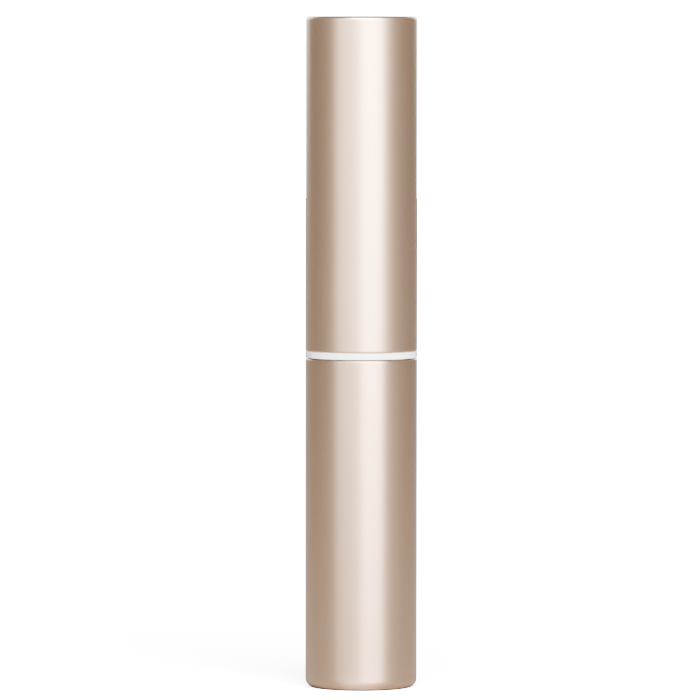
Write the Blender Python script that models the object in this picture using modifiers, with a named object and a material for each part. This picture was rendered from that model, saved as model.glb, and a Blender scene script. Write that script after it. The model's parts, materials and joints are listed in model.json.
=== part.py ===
"""Pocket heated eyelash curler: a capped pen with a wire-wound comb, a slide switch and one cell.

Metres, +Z up along the pen, origin at the centre of the flat base, front of the switch towards -Y.
Three pieces of the pen slide: the barrel pulls off below, the cap pulls off above, and the
switch slider moves up in the neck.
"""
import math

import bmesh
import bpy
from mathutils import Matrix, Vector

MM = 0.001

# Cell: one AAA
CELL_DIAMETER = 10.5 * MM
CELL_LENGTH = 44.5 * MM
NUB_HEIGHT = 1.0 * MM
NUB_DIAMETER = 3.8 * MM
CELL_CRIMP = 0.5 * MM

# Walls and clearances, from the cell outwards
CELL_CLEARANCE = 0.25 * MM
SPIGOT_WALL = 1.65 * MM
TRAY_WALL = 1.2 * MM
FIT = 0.15 * MM
LINER_WALL = 0.9 * MM
GLUE_GAP = 0.1 * MM
SHELL_WALL = 0.7 * MM
SEAT = 0.15 * MM
PARTING_GAP = 0.1 * MM

# Barrel
BARREL_BASE = 0.9 * MM
BASE_EDGE_RADIUS = 1.4 * MM
MOUTH_EDGE = 0.15 * MM
END_GAP = 0.3 * MM

# Contacts at the ends of the cell
CONTACT_THICKNESS = 0.3 * MM
STRIP_WIDTH = 2.6 * MM
STRIP_SINK = 0.45 * MM
STRIP_LEG_RISE = 0.7 * MM
SPRING_HEIGHT = 3.7 * MM
SPRING_WIRE = 0.5 * MM
SPRING_TURNS = 4
SPRING_FOOT_RADIUS = 4.0 * MM
SPRING_TOP_RADIUS = 2.2 * MM
PLATE_WIDTH = 6.0 * MM
TAB_WIDTH = 1.2 * MM
TAB_RISE = 2.0 * MM

# Frame halves, measured from the plane of the barrel's mouth
RIM_RISE = 1.45 * MM
END_WALL = 1.0 * MM
BULKHEAD = 3.0 * MM
SPIGOT_DEPTH = 4.7 * MM
FLANGE_THICKNESS = 0.8 * MM
TRAY_WRAP = math.radians(20)
GRIP_WIRE = 0.6 * MM
GRIP_DEPTH = 2.6 * MM
THUMB_NOTCH_RADIUS = 9.0 * MM
NECK_WALL = 1.2 * MM
NECK_EDGE = 0.3 * MM
CEILING = 0.8 * MM
TOP_SPIGOT_RADIUS = 5.4 * MM
TOP_SPIGOT_WALL = 1.1 * MM
TOP_SPIGOT_HEIGHT = 4.0 * MM
CAP_GROOVE_HEIGHT = 3.2 * MM
CAP_GROOVE_DEPTH = 0.2 * MM
CAP_GROOVE_REACH = 0.5 * MM

# Collar ring and the seams on both sides of it
SEAM = 0.12 * MM
RING_HEIGHT = 1.1 * MM
RING_EDGE = 0.15 * MM

# Switch
TRAVEL = 3.0 * MM
SLIDER_WIDTH = 5.7 * MM
SLIDER_HEIGHT = 6.2 * MM
SLIDER_GAP = 0.2 * MM
SLIDER_SINK = 0.2 * MM
SLIDER_CORNER = 0.6 * MM
RIDGES = 5
RIDGE_PITCH = 0.9 * MM
RIDGE_GROOVE = 0.4 * MM
POCKET_DEPTH = 1.8 * MM
POCKET_FLOOR = 1.0 * MM
POCKET_RISE = 4.5 * MM
STEM_WIDTH = 2.6 * MM
STEM_HEIGHT = 2.4 * MM
LEVER_WIDTH = 1.2 * MM
LEVER_HEIGHT = 1.4 * MM
BACKPLATE_THICKNESS = 0.5 * MM
BACKPLATE_OVERLAP = 0.2 * MM
BACKPLATE_WIDTH = 4.8 * MM

# Board and what sits on it
BOARD_THICKNESS = 1.0 * MM
BOARD_SIDE_GAP = 0.8 * MM
BOARD_TAB_GAP = 0.6 * MM
BOARD_TAB_RISE = 1.6 * MM
SWITCH_GAP = 0.85 * MM
SWITCH_BODY = (3.6 * MM, 3.3 * MM, 8.6 * MM)
SWITCH_SLOT_DEPTH = 1.0 * MM
CHIP_BODY = (5.0 * MM, 1.4 * MM, 4.0 * MM)
LED_BODY = (1.6 * MM, 0.8 * MM, 1.2 * MM)
LED_GAP = 2.5 * MM
NECK_ABOVE_LED = 2.5 * MM
PIPE_DIAMETER = 1.6 * MM
SCREW_SHANK = 1.1 * MM
SCREW_LENGTH = 4.0 * MM
SCREW_HEAD = 2.0 * MM
SCREW_HEAD_HEIGHT = 0.7 * MM
SCREW_HEAD_FLAT = 1.2 * MM
SCREW_EDGE = 1.5 * MM
SCREW_GAP = 0.3 * MM
BOSS_DIAMETER = 2.5 * MM
HOLE_CLEARANCE = 0.2 * MM

# Heated head
HEAD_BASE_HEIGHT = 8.0 * MM
HEAD_WALL = 1.2 * MM
ROD_RADIUS = 1.6 * MM
BORE_CLEARANCE = 0.4 * MM
ROD_BEND = 1.2 * MM
WIRE_DIAMETER = 0.5 * MM
WIRE_LIFT = 0.25 * MM
WIRE_TURNS = 11.5
WIRE_PITCH = 1.45 * MM
WIRE_START = 1.2 * MM
ROD_TAIL = 2.4 * MM
LEAD_WEB = 0.5 * MM
TOOTH_REACH = 1.85 * MM
TOOTH_WIDTH = 2.0 * MM
TOOTH_TIP_WIDTH = 1.1 * MM
TOOTH_THICKNESS = 0.6 * MM
GUARD_WALL = 0.75 * MM
GUARD_GRIP = 1.6 * MM
GUARD_CROWN = 1.5 * MM

# Cap
CAP_HEADROOM = 5.7 * MM
CAP_TOP_WALL = 0.8 * MM
CAP_EDGE_RADIUS = 0.6 * MM
CAP_LINER_LENGTH = 20.0 * MM
CAP_LINER_SETBACK = 0.25 * MM
BEAD_HEIGHT = 0.08 * MM

# Roundness of the model
BODY_SIDES = 48
SMALL_SIDES = 24
PIN_SIDES = 12
POINTS_PER_TURN = 10

# Radii that follow from the cell and the walls
CELL_RADIUS = CELL_DIAMETER / 2
BAY_RADIUS = CELL_RADIUS + CELL_CLEARANCE
TRAY_RADIUS = BAY_RADIUS + TRAY_WALL
SPIGOT_RADIUS = BAY_RADIUS + SPIGOT_WALL
LINER_BORE = SPIGOT_RADIUS + FIT
LINER_RADIUS = LINER_BORE + LINER_WALL
SHELL_BORE = LINER_RADIUS + GLUE_GAP
BODY_RADIUS = SHELL_BORE + SHELL_WALL
FLANGE_RADIUS = SHELL_BORE - FIT
NECK_BORE = SPIGOT_RADIUS - NECK_WALL
TOP_BORE = TOP_SPIGOT_RADIUS - TOP_SPIGOT_WALL

# Heights on the frame, from the plane of the barrel's mouth
BULKHEAD_FLOOR = -RIM_RISE
BULKHEAD_TOP = BULKHEAD_FLOOR + BULKHEAD
PLATE_FLOOR = BULKHEAD_FLOOR - SEAT - CONTACT_THICKNESS
CELL_FOOT = PLATE_FLOOR - SEAT - CELL_LENGTH
SPRING_FOOT = CELL_FOOT - SEAT - SPRING_HEIGHT
STRIP_FLOOR = SPRING_FOOT - SEAT - CONTACT_THICKNESS
BAY_FLOOR = STRIP_FLOOR - SEAT
FRAME_FOOT = BAY_FLOOR - END_WALL
BARREL_LENGTH = BARREL_BASE + END_GAP - FRAME_FOOT
FLANGE_TOP = 0.0
SPIGOT_FOOT = -SPIGOT_DEPTH
POCKET_HALF = SLIDER_HEIGHT / 2 + TRAVEL / 2 + SLIDER_GAP
SLOT_HALF = STEM_HEIGHT / 2 + TRAVEL / 2 + SLIDER_GAP
SWITCH_HEIGHT = POCKET_RISE + POCKET_HALF
SLIDER_OFF = SWITCH_HEIGHT - TRAVEL / 2
LED_HEIGHT = SWITCH_HEIGHT + POCKET_HALF + LED_GAP
NECK_LENGTH = LED_HEIGHT + NECK_ABOVE_LED
FRAME_TOP = NECK_LENGTH + TOP_SPIGOT_HEIGHT
CAVITY_TOP = NECK_LENGTH - CEILING
RING_FOOT = SEAM
CAP_MOUTH = SEAM + RING_HEIGHT + SEAM
HEAD_FOOT = NECK_LENGTH + PARTING_GAP
HEAD_TOP = NECK_LENGTH + HEAD_BASE_HEIGHT
WINDING_FOOT = HEAD_TOP + WIRE_START
WINDING_TOP = WINDING_FOOT + WIRE_TURNS * WIRE_PITCH
ROD_FOOT = FRAME_TOP + SEAT
ROD_TOP = WINDING_TOP + ROD_TAIL
TIP_TOP = ROD_TOP + SEAT + GUARD_CROWN
CAP_LENGTH = TIP_TOP + CAP_HEADROOM + CAP_TOP_WALL - CAP_MOUTH

# Radii of the heated head
WIRE_RADIUS = WIRE_DIAMETER / 2
WIRE_HOLE = WIRE_RADIUS + HOLE_CLEARANCE
COIL_RADIUS = ROD_RADIUS + WIRE_LIFT + WIRE_RADIUS
ROD_BORE = WIRE_RADIUS + BORE_CLEARANCE
ROD_HOLE = ROD_RADIUS + SEAT
LEAD_RADIUS = ROD_HOLE + LEAD_WEB + WIRE_HOLE
HEAD_TOP_RADIUS = LEAD_RADIUS + WIRE_HOLE + LEAD_WEB + NECK_EDGE
GUARD_RADIUS = ROD_HOLE + GUARD_WALL

# Depths of the switch, from the pen's axis towards the front
POCKET_FACE = -(SPIGOT_RADIUS - POCKET_DEPTH)
POCKET_BACK = POCKET_FACE + POCKET_FLOOR
SLIDER_BACK = POCKET_FACE - SEAT
BACKPLATE_FRONT = POCKET_BACK + SEAT
BACKPLATE_BACK = BACKPLATE_FRONT + BACKPLATE_THICKNESS
BOARD_FACE = BACKPLATE_BACK + SWITCH_GAP + SWITCH_BODY[1] + SEAT
BOARD_BACK = BOARD_FACE + BOARD_THICKNESS
BOARD_HALF = math.sqrt((NECK_BORE - BOARD_SIDE_GAP) ** 2 - BOARD_BACK ** 2)
BOARD_TAB_HALF = math.sqrt((TOP_BORE - BOARD_TAB_GAP) ** 2 - BOARD_BACK ** 2)
TAB_FRONT = BOARD_BACK + 2 * SEAT
STRIP_BACK = BAY_RADIUS + STRIP_SINK
STRIP_FRONT = STRIP_BACK - CONTACT_THICKNESS
STRIP_TOP = BULKHEAD_TOP + STRIP_LEG_RISE

# Screw places on the board, one at each end of the switch body and on opposite sides
SCREW_REACH = SWITCH_BODY[2] / 2 + SCREW_GAP + SCREW_HEAD / 2
SCREW_X = BOARD_HALF - SCREW_EDGE
SCREWS = {"board_screw_lower": (SCREW_X, SWITCH_HEIGHT - SCREW_REACH),
          "board_screw_upper": (-SCREW_X, SWITCH_HEIGHT + SCREW_REACH)}


def clear_scene():
    for obj in list(bpy.data.objects):
        bpy.data.objects.remove(obj, do_unlink=True)


def new_collection(name):
    collection = bpy.data.collections.new(name)
    bpy.context.scene.collection.children.link(collection)
    return collection


def finish(name, colour, roughness, metallic=0.0):
    material = bpy.data.materials.new(name)
    material.use_nodes = True
    shader = material.node_tree.nodes["Principled BSDF"]
    shader.inputs["Base Color"].default_value = (*colour, 1.0)
    shader.inputs["Roughness"].default_value = roughness
    shader.inputs["Metallic"].default_value = metallic
    material.diffuse_color = (*colour, 1.0)
    return material


clear_scene()
PARTS = new_collection("eyelash_curler")
TOOLS = new_collection("cutters")

CHAMPAGNE = finish("champagne_aluminium", (0.74, 0.60, 0.50), 0.35, 1.0)
LACQUER = finish("champagne_lacquer", (0.70, 0.57, 0.48), 0.35, 0.6)
WHITE = finish("white_plastic", (0.87, 0.86, 0.84), 0.35)
LINER_WHITE = finish("liner_plastic", (0.80, 0.80, 0.79), 0.5)
BLACK = finish("heatproof_plastic", (0.03, 0.03, 0.033), 0.5)
SOFT_BLACK = finish("soft_tip", (0.045, 0.045, 0.05), 0.7)
NICHROME = finish("heater_alloy", (0.58, 0.56, 0.53), 0.3, 1.0)
NICKEL = finish("nickel_steel", (0.66, 0.65, 0.62), 0.25, 1.0)
STEEL = finish("screw_steel", (0.45, 0.45, 0.46), 0.35, 1.0)
BOARD = finish("board_laminate", (0.02, 0.16, 0.07), 0.45)
CHIP = finish("chip_resin", (0.02, 0.02, 0.022), 0.55)
LED = finish("led_resin", (0.85, 0.80, 0.55), 0.3)
CLEAR = finish("pipe_acrylic", (0.88, 0.90, 0.90), 0.1)
SILICONE = finish("grip_silicone", (0.20, 0.20, 0.21), 0.75)
JACKET = finish("cell_jacket", (0.10, 0.17, 0.30), 0.4, 0.3)


def add(name, data, parent, at=(0, 0, 0), turn=(0, 0, 0), coat=None):
    """Link an object; one without a finish is a tool for cutting or joining and isn't rendered."""
    obj = bpy.data.objects.new(name, data)
    obj.parent = parent
    obj.location = at
    obj.rotation_euler = turn
    if coat:
        data.materials.append(coat)
        PARTS.objects.link(obj)
    else:
        obj.hide_render = True
        obj.display_type = "WIRE"
        TOOLS.objects.link(obj)
    return obj


def axis(name, parent, height):
    empty = bpy.data.objects.new(name, None)
    empty.parent = parent
    empty.location = (0, 0, height)
    empty.empty_display_size = 5 * MM
    PARTS.objects.link(empty)
    return empty


def arc(centre, radius, start, end, count):
    """Points on an arc in a profile, angles in degrees from +X towards +Z."""
    points = []
    for step in range(count + 1):
        angle = math.radians(start + (end - start) * step / count)
        points.append((centre[0] + radius * math.cos(angle), centre[1] + radius * math.sin(angle)))
    return points


def turned(name, profile, parent, loop=False, sides=BODY_SIDES, **where):
    """Turn a profile of (radius, height) points about Z; it runs down its outer side."""
    edges = [(i, i + 1) for i in range(len(profile) - 1)]
    if loop:
        edges.append((len(profile) - 1, 0))
    mesh = bpy.data.meshes.new(name)
    mesh.from_pydata([(radius, 0, height) for radius, height in profile], edges, [])
    obj = add(name, mesh, parent, **where)
    screw = obj.modifiers.new("turn", "SCREW")
    screw.steps = sides
    screw.render_steps = sides
    screw.use_merge_vertices = True
    screw.merge_threshold = 0.00001
    return obj


def box(name, low, high, parent, rounding=0.0, **where):
    """Box between two corners, its edges rounded when a radius is given."""
    low = Vector(low)
    high = Vector(high)
    mesh = bpy.data.meshes.new(name)
    shape = bmesh.new()
    size = Matrix.Diagonal((high - low).to_4d())
    bmesh.ops.create_cube(shape, size=1.0, matrix=Matrix.Translation((low + high) / 2) @ size)
    shape.to_mesh(mesh)
    shape.free()
    obj = add(name, mesh, parent, **where)
    if rounding:
        bevel = obj.modifiers.new("round", "BEVEL")
        bevel.width = rounding
        bevel.segments = 2
    return obj


def pin(name, radius, start, end, parent, sides=PIN_SIDES, **where):
    """Straight round pin between two points."""
    start = Vector(start)
    end = Vector(end)
    along = end - start
    mesh = bpy.data.meshes.new(name)
    shape = bmesh.new()
    place = Matrix.Translation((start + end) / 2) @ along.to_track_quat("Z", "Y").to_matrix().to_4x4()
    bmesh.ops.create_cone(shape, cap_ends=True, segments=sides, radius1=radius, radius2=radius,
                          depth=along.length, matrix=place)
    shape.to_mesh(mesh)
    shape.free()
    mesh.shade_smooth()
    mesh.set_sharp_from_angle(angle=math.radians(40))
    return add(name, mesh, parent, **where)


def boolean(target, operation, *tools):
    for tool in tools:
        modifier = target.modifiers.new(f"{operation.lower()} {tool.name}", "BOOLEAN")
        modifier.operation = operation
        modifier.solver = "EXACT"
        modifier.object = tool


def cut(target, *tools):
    boolean(target, "DIFFERENCE", *tools)


def join(target, *tools):
    boolean(target, "UNION", *tools)


def wire(name, points, radius, parent, resolution=1, **where):
    """Round wire along a line of points."""
    curve = bpy.data.curves.new(name, "CURVE")
    curve.dimensions = "3D"
    curve.bevel_depth = radius
    curve.bevel_resolution = resolution
    curve.use_fill_caps = True
    spline = curve.splines.new("POLY")
    spline.points.add(len(points) - 1)
    for point, place in zip(spline.points, points):
        point.co = (*place, 1.0)
    return add(name, curve, parent, **where)


def plate(name, outlines, thickness, parent, **where):
    """Flat plate in XY from an outline and the outlines of its holes."""
    curve = bpy.data.curves.new(name, "CURVE")
    curve.dimensions = "2D"
    curve.fill_mode = "BOTH"
    curve.extrude = thickness / 2
    for outline in outlines:
        spline = curve.splines.new("POLY")
        spline.points.add(len(outline) - 1)
        spline.use_cyclic_u = True
        for point, place in zip(spline.points, outline):
            point.co = (place[0], place[1], 0, 1)
    return add(name, curve, parent, **where)


def as_mesh(obj):
    """Swap a curve for the mesh that it makes, with its caps welded."""
    bpy.context.view_layer.update()
    mesh = bpy.data.meshes.new_from_object(obj.evaluated_get(bpy.context.evaluated_depsgraph_get()))
    shape = bmesh.new()
    shape.from_mesh(mesh)
    bmesh.ops.remove_doubles(shape, verts=shape.verts, dist=0.000001)
    bmesh.ops.recalc_face_normals(shape, faces=shape.faces)
    shape.to_mesh(mesh)
    shape.free()
    name = obj.name
    swapped = bpy.data.objects.new(name + "_mesh", mesh)
    for collection in obj.users_collection:
        collection.objects.link(swapped)
    swapped.parent = obj.parent
    swapped.matrix_world = obj.matrix_world
    swapped.hide_render = obj.hide_render
    swapped.display_type = obj.display_type
    bpy.data.objects.remove(obj, do_unlink=True)
    swapped.name = name
    return swapped


def least_gap(points, diameter):
    """Smallest gap between parts of one wire that are not neighbours along it."""
    closest = math.inf
    neighbours = 6 * diameter
    walked = [0.0]
    for before, after in zip(points, points[1:]):
        walked.append(walked[-1] + (Vector(after) - Vector(before)).length)
    for i, first in enumerate(points):
        for j in range(i + 1, len(points)):
            if walked[j] - walked[i] > neighbours:
                closest = min(closest, (Vector(points[j]) - Vector(first)).length)
    return closest - diameter


# Barrel: a drawn cup with a plastic sleeve glued inside

def make_barrel(barrel):
    inner_edge = BASE_EDGE_RADIUS - SHELL_WALL
    profile = [(0, BARREL_BASE)]
    profile += arc((SHELL_BORE - inner_edge, BARREL_BASE + inner_edge), inner_edge, -90, 0, 3)
    profile += [(SHELL_BORE, BARREL_LENGTH - MOUTH_EDGE), (SHELL_BORE + MOUTH_EDGE, BARREL_LENGTH)]
    profile += [(BODY_RADIUS - MOUTH_EDGE, BARREL_LENGTH), (BODY_RADIUS, BARREL_LENGTH - MOUTH_EDGE)]
    profile += arc((BODY_RADIUS - BASE_EDGE_RADIUS, BASE_EDGE_RADIUS), BASE_EDGE_RADIUS, 0, -90, 5)
    profile += [(0, 0)]
    turned("barrel_shell", profile, barrel, coat=CHAMPAGNE)

    foot = BARREL_BASE + inner_edge + SEAT
    top = BARREL_LENGTH - FLANGE_THICKNESS - SEAT
    profile = [(LINER_BORE + MOUTH_EDGE, top), (LINER_RADIUS, top), (LINER_RADIUS, foot)]
    profile += [(LINER_BORE, foot), (LINER_BORE, top - MOUTH_EDGE)]
    turned("barrel_liner", profile, barrel, loop=True, coat=LINER_WHITE)


# Cap: a drawn cup with a short gripping sleeve in its mouth

def make_cap(cap):
    inner_edge = CAP_EDGE_RADIUS
    ceiling = CAP_LENGTH - CAP_TOP_WALL
    profile = [(0, CAP_LENGTH)]
    profile += arc((BODY_RADIUS - CAP_EDGE_RADIUS, CAP_LENGTH - CAP_EDGE_RADIUS), CAP_EDGE_RADIUS, 90, 0, 4)
    profile += [(BODY_RADIUS, MOUTH_EDGE), (BODY_RADIUS - MOUTH_EDGE, 0), (SHELL_BORE + MOUTH_EDGE, 0)]
    profile += [(SHELL_BORE, MOUTH_EDGE)]
    profile += arc((SHELL_BORE - inner_edge, ceiling - inner_edge), inner_edge, 0, 90, 3)
    profile += [(0, ceiling)]
    turned("cap_shell", profile, cap, coat=CHAMPAGNE)

    foot = CAP_LINER_SETBACK
    top = foot + CAP_LINER_LENGTH
    bead = CAP_GROOVE_HEIGHT - CAP_MOUTH
    reach = CAP_GROOVE_REACH
    lead_in = 2 * MOUTH_EDGE
    profile = [(LINER_BORE, top), (LINER_RADIUS, top), (LINER_RADIUS, foot), (LINER_BORE + lead_in, foot)]
    profile += [(LINER_BORE, foot + lead_in), (LINER_BORE, bead - reach), (LINER_BORE - BEAD_HEIGHT, bead)]
    profile += [(LINER_BORE, bead + reach)]
    turned("cap_liner", profile, cap, loop=True, coat=LINER_WHITE)


# Frame halves: the neck in two mouldings, the rear one with the cell tray below it

def frame_profile(foot_points):
    """Outer side of the frame, from the top down; the two halves differ below the spigot."""
    groove = SPIGOT_RADIUS - CAP_GROOVE_DEPTH
    grip = SPIGOT_RADIUS - GRIP_WIRE
    reach = CAP_GROOVE_REACH
    room = GRIP_WIRE / 2 + SEAT
    profile = [(0, FRAME_TOP), (TOP_SPIGOT_RADIUS, FRAME_TOP), (TOP_SPIGOT_RADIUS, NECK_LENGTH)]
    profile += arc((SPIGOT_RADIUS - NECK_EDGE, NECK_LENGTH - NECK_EDGE), NECK_EDGE, 90, 0, 2)
    profile += [(SPIGOT_RADIUS, CAP_GROOVE_HEIGHT + reach), (groove, CAP_GROOVE_HEIGHT)]
    profile += [(SPIGOT_RADIUS, CAP_GROOVE_HEIGHT - reach), (SPIGOT_RADIUS, FLANGE_TOP)]
    profile += [(FLANGE_RADIUS, FLANGE_TOP), (FLANGE_RADIUS, FLANGE_TOP - FLANGE_THICKNESS)]
    profile += [(SPIGOT_RADIUS, FLANGE_TOP - FLANGE_THICKNESS), (SPIGOT_RADIUS, room - GRIP_DEPTH)]
    profile += [(grip, room - GRIP_DEPTH), (grip, -room - GRIP_DEPTH), (SPIGOT_RADIUS, -room - GRIP_DEPTH)]
    profile += [(SPIGOT_RADIUS, SPIGOT_FOOT)]
    return profile + foot_points + [(0, foot_points[-1][1])]


def cavity(name, chassis):
    """Hollow of the neck above the bulkhead."""
    profile = [(0, FRAME_TOP + END_WALL), (TOP_BORE, FRAME_TOP + END_WALL), (TOP_BORE, CAVITY_TOP)]
    profile += [(NECK_BORE, CAVITY_TOP), (NECK_BORE, BULKHEAD_TOP), (0, BULKHEAD_TOP)]
    return turned(name, profile, chassis)


def make_rear_frame(chassis, bay):
    wide = 2 * BODY_RADIUS
    frame = turned("rear_frame", frame_profile([(TRAY_RADIUS, SPIGOT_FOOT), (TRAY_RADIUS, FRAME_FOOT)]),
                   chassis, coat=WHITE)
    lip = -BAY_RADIUS * math.sin(TRAY_WRAP)
    front_side = box("front_side", (-wide, -wide, SPIGOT_FOOT - SEAT),
                     (wide, PARTING_GAP / 2, FRAME_TOP + END_WALL), chassis)
    bay_mouth = box("bay_mouth", (-wide, -wide, BAY_FLOOR), (wide, lip, SPIGOT_FOOT), chassis)
    hollow = cavity("rear_cavity", chassis)
    for name, (x, height) in SCREWS.items():
        cut(hollow, pin(f"{name}_boss", BOSS_DIAMETER / 2, (x, BOARD_BACK + SEAT, height),
                        (x, BODY_RADIUS, height), chassis))
    strip_room = STRIP_WIDTH / 2 + HOLE_CLEARANCE
    groove_front = math.sqrt(BAY_RADIUS ** 2 - strip_room ** 2) - HOLE_CLEARANCE
    strip_groove = box("strip_groove", (-strip_room, groove_front, BAY_FLOOR),
                       (strip_room, STRIP_BACK + HOLE_CLEARANCE, STRIP_TOP + HOLE_CLEARANCE), chassis)
    tab_edge = -PLATE_WIDTH / 2
    tab_back = TAB_FRONT + CONTACT_THICKNESS
    tab_slot = box("tab_slot", (tab_edge - HOLE_CLEARANCE, TAB_FRONT - HOLE_CLEARANCE, BULKHEAD_FLOOR - SEAT),
                   (tab_edge + TAB_WIDTH + HOLE_CLEARANCE, tab_back + HOLE_CLEARANCE, BULKHEAD_TOP + SEAT),
                   chassis)
    notch_depth = THUMB_NOTCH_RADIUS - CELL_RADIUS / 2
    middle = (BAY_FLOOR + SPIGOT_FOOT) / 2
    thumb_notch = pin("thumb_notch", THUMB_NOTCH_RADIUS, (-wide, -notch_depth, middle),
                      (wide, -notch_depth, middle), chassis, sides=32)
    cut(frame, bay, hollow, front_side, bay_mouth, thumb_notch, strip_groove, tab_slot)
    for name, (x, height) in SCREWS.items():
        cut(frame, pin(f"{name}_pilot", SCREW_SHANK / 2 + HOLE_CLEARANCE, (x, BOARD_BACK, height),
                       (x, BOARD_FACE + SCREW_LENGTH + HOLE_CLEARANCE, height), chassis))


def make_front_frame(chassis, bay):
    wide = 2 * BODY_RADIUS
    frame = turned("front_frame", frame_profile([(BAY_RADIUS / 2, SPIGOT_FOOT)]), chassis, coat=WHITE)
    rear_side = box("rear_side", (-wide, -PARTING_GAP / 2, SPIGOT_FOOT - END_WALL),
                    (wide, wide, FRAME_TOP + END_WALL), chassis)
    half = SLIDER_WIDTH / 2 + SLIDER_GAP
    low = SWITCH_HEIGHT - POCKET_HALF
    high = SWITCH_HEIGHT + POCKET_HALF
    hollow = cavity("front_cavity", chassis)
    cut(hollow, box("pocket_block", (-half - END_WALL, -wide, low - END_WALL),
                    (half + END_WALL, POCKET_BACK, high + END_WALL), chassis))
    pocket = box("switch_pocket", (-half, -wide, low), (half, POCKET_FACE, high), chassis, SLIDER_CORNER)
    slot = box("switch_slot", (-STEM_WIDTH / 2 - SLIDER_GAP, POCKET_FACE - SEAT, SWITCH_HEIGHT - SLOT_HALF),
               (STEM_WIDTH / 2 + SLIDER_GAP, POCKET_BACK + SEAT, SWITCH_HEIGHT + SLOT_HALF), chassis)
    pipe_hole = pin("pipe_hole", PIPE_DIAMETER / 2 + SEAT, (0, -wide, LED_HEIGHT), (0, 0, LED_HEIGHT),
                    chassis, sides=16)
    cut(frame, bay, hollow, rear_side, pocket, slot, pipe_hole)


def make_frame(chassis):
    bay = pin("cell_bay", BAY_RADIUS, (0, 0, BAY_FLOOR), (0, 0, BULKHEAD_FLOOR), chassis, sides=BODY_SIDES)
    make_rear_frame(chassis, bay)
    make_front_frame(chassis, bay)

    ring_bore = SPIGOT_RADIUS + GLUE_GAP
    top = RING_FOOT + RING_HEIGHT
    profile = [(BODY_RADIUS - RING_EDGE, top), (BODY_RADIUS, top - RING_EDGE)]
    profile += [(BODY_RADIUS, RING_FOOT + RING_EDGE), (BODY_RADIUS - RING_EDGE, RING_FOOT)]
    profile += [(ring_bore, RING_FOOT), (ring_bore, top)]
    turned("collar_ring", profile, chassis, loop=True, coat=WHITE)

    centre = (SPIGOT_RADIUS - GRIP_WIRE / 2 + FIT / 2, -GRIP_DEPTH)
    turned("grip_ring", arc(centre, GRIP_WIRE / 2, 90, -225, 7), chassis, loop=True, coat=SILICONE)


# Switch: the slider outside, the backplate that holds it in, and the lever between them

def make_switch(switch):
    half = SLIDER_WIDTH / 2
    tall = SLIDER_HEIGHT / 2
    slider = box("switch_slider", (-half, -BODY_RADIUS, -tall), (half, SLIDER_BACK, tall), switch,
                 SLIDER_CORNER, coat=LACQUER)
    crown = pin("slider_crown", SPIGOT_RADIUS - SLIDER_SINK, (0, 0, -SLIDER_HEIGHT), (0, 0, SLIDER_HEIGHT),
                switch, sides=BODY_SIDES)
    boolean(slider, "INTERSECT", crown)
    face = -(SPIGOT_RADIUS - SLIDER_SINK)
    start = -RIDGE_PITCH * (RIDGES - 1) / 2
    grooves = box("slider_grooves", (-half + SLIDER_CORNER, -BODY_RADIUS, start - RIDGE_GROOVE / 2),
                  (half - SLIDER_CORNER, face + RIDGE_GROOVE, start + RIDGE_GROOVE / 2), switch)
    rows = grooves.modifiers.new("rows", "ARRAY")
    rows.count = RIDGES
    rows.use_relative_offset = False
    rows.use_constant_offset = True
    rows.constant_offset_displace = (0, 0, RIDGE_PITCH)
    stem = box("slider_stem", (-STEM_WIDTH / 2, SLIDER_BACK - SEAT, -STEM_HEIGHT / 2),
               (STEM_WIDTH / 2, POCKET_BACK, STEM_HEIGHT / 2), switch)
    lever_x = LEVER_WIDTH / 2
    lever_z = LEVER_HEIGHT / 2
    socket = box("lever_socket", (-lever_x - SEAT, POCKET_FACE, -lever_z - SEAT),
                 (lever_x + SEAT, POCKET_BACK + SEAT, lever_z + SEAT), switch)
    cut(slider, grooves)
    join(slider, stem)
    cut(slider, socket)

    wide = BACKPLATE_WIDTH / 2
    tall = SLOT_HALF + TRAVEL / 2 + BACKPLATE_OVERLAP
    backplate = box("slider_backplate", (-wide, BACKPLATE_FRONT, -tall), (wide, BACKPLATE_BACK, tall),
                    switch, coat=BLACK)
    cut(backplate, box("lever_window", (-lever_x - SEAT, BACKPLATE_FRONT - SEAT, -lever_z - SEAT),
                       (lever_x + SEAT, BACKPLATE_BACK + SEAT, lever_z + SEAT), switch))
    slot_floor = BOARD_FACE - SEAT - SWITCH_BODY[1] + SWITCH_SLOT_DEPTH
    box("switch_lever", (-lever_x, POCKET_FACE + SEAT, -lever_z), (lever_x, slot_floor - SEAT, lever_z),
        switch, coat=BLACK)


# Board: switch body, chip, lamp and the screws that hold it to the rear frame

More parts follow.
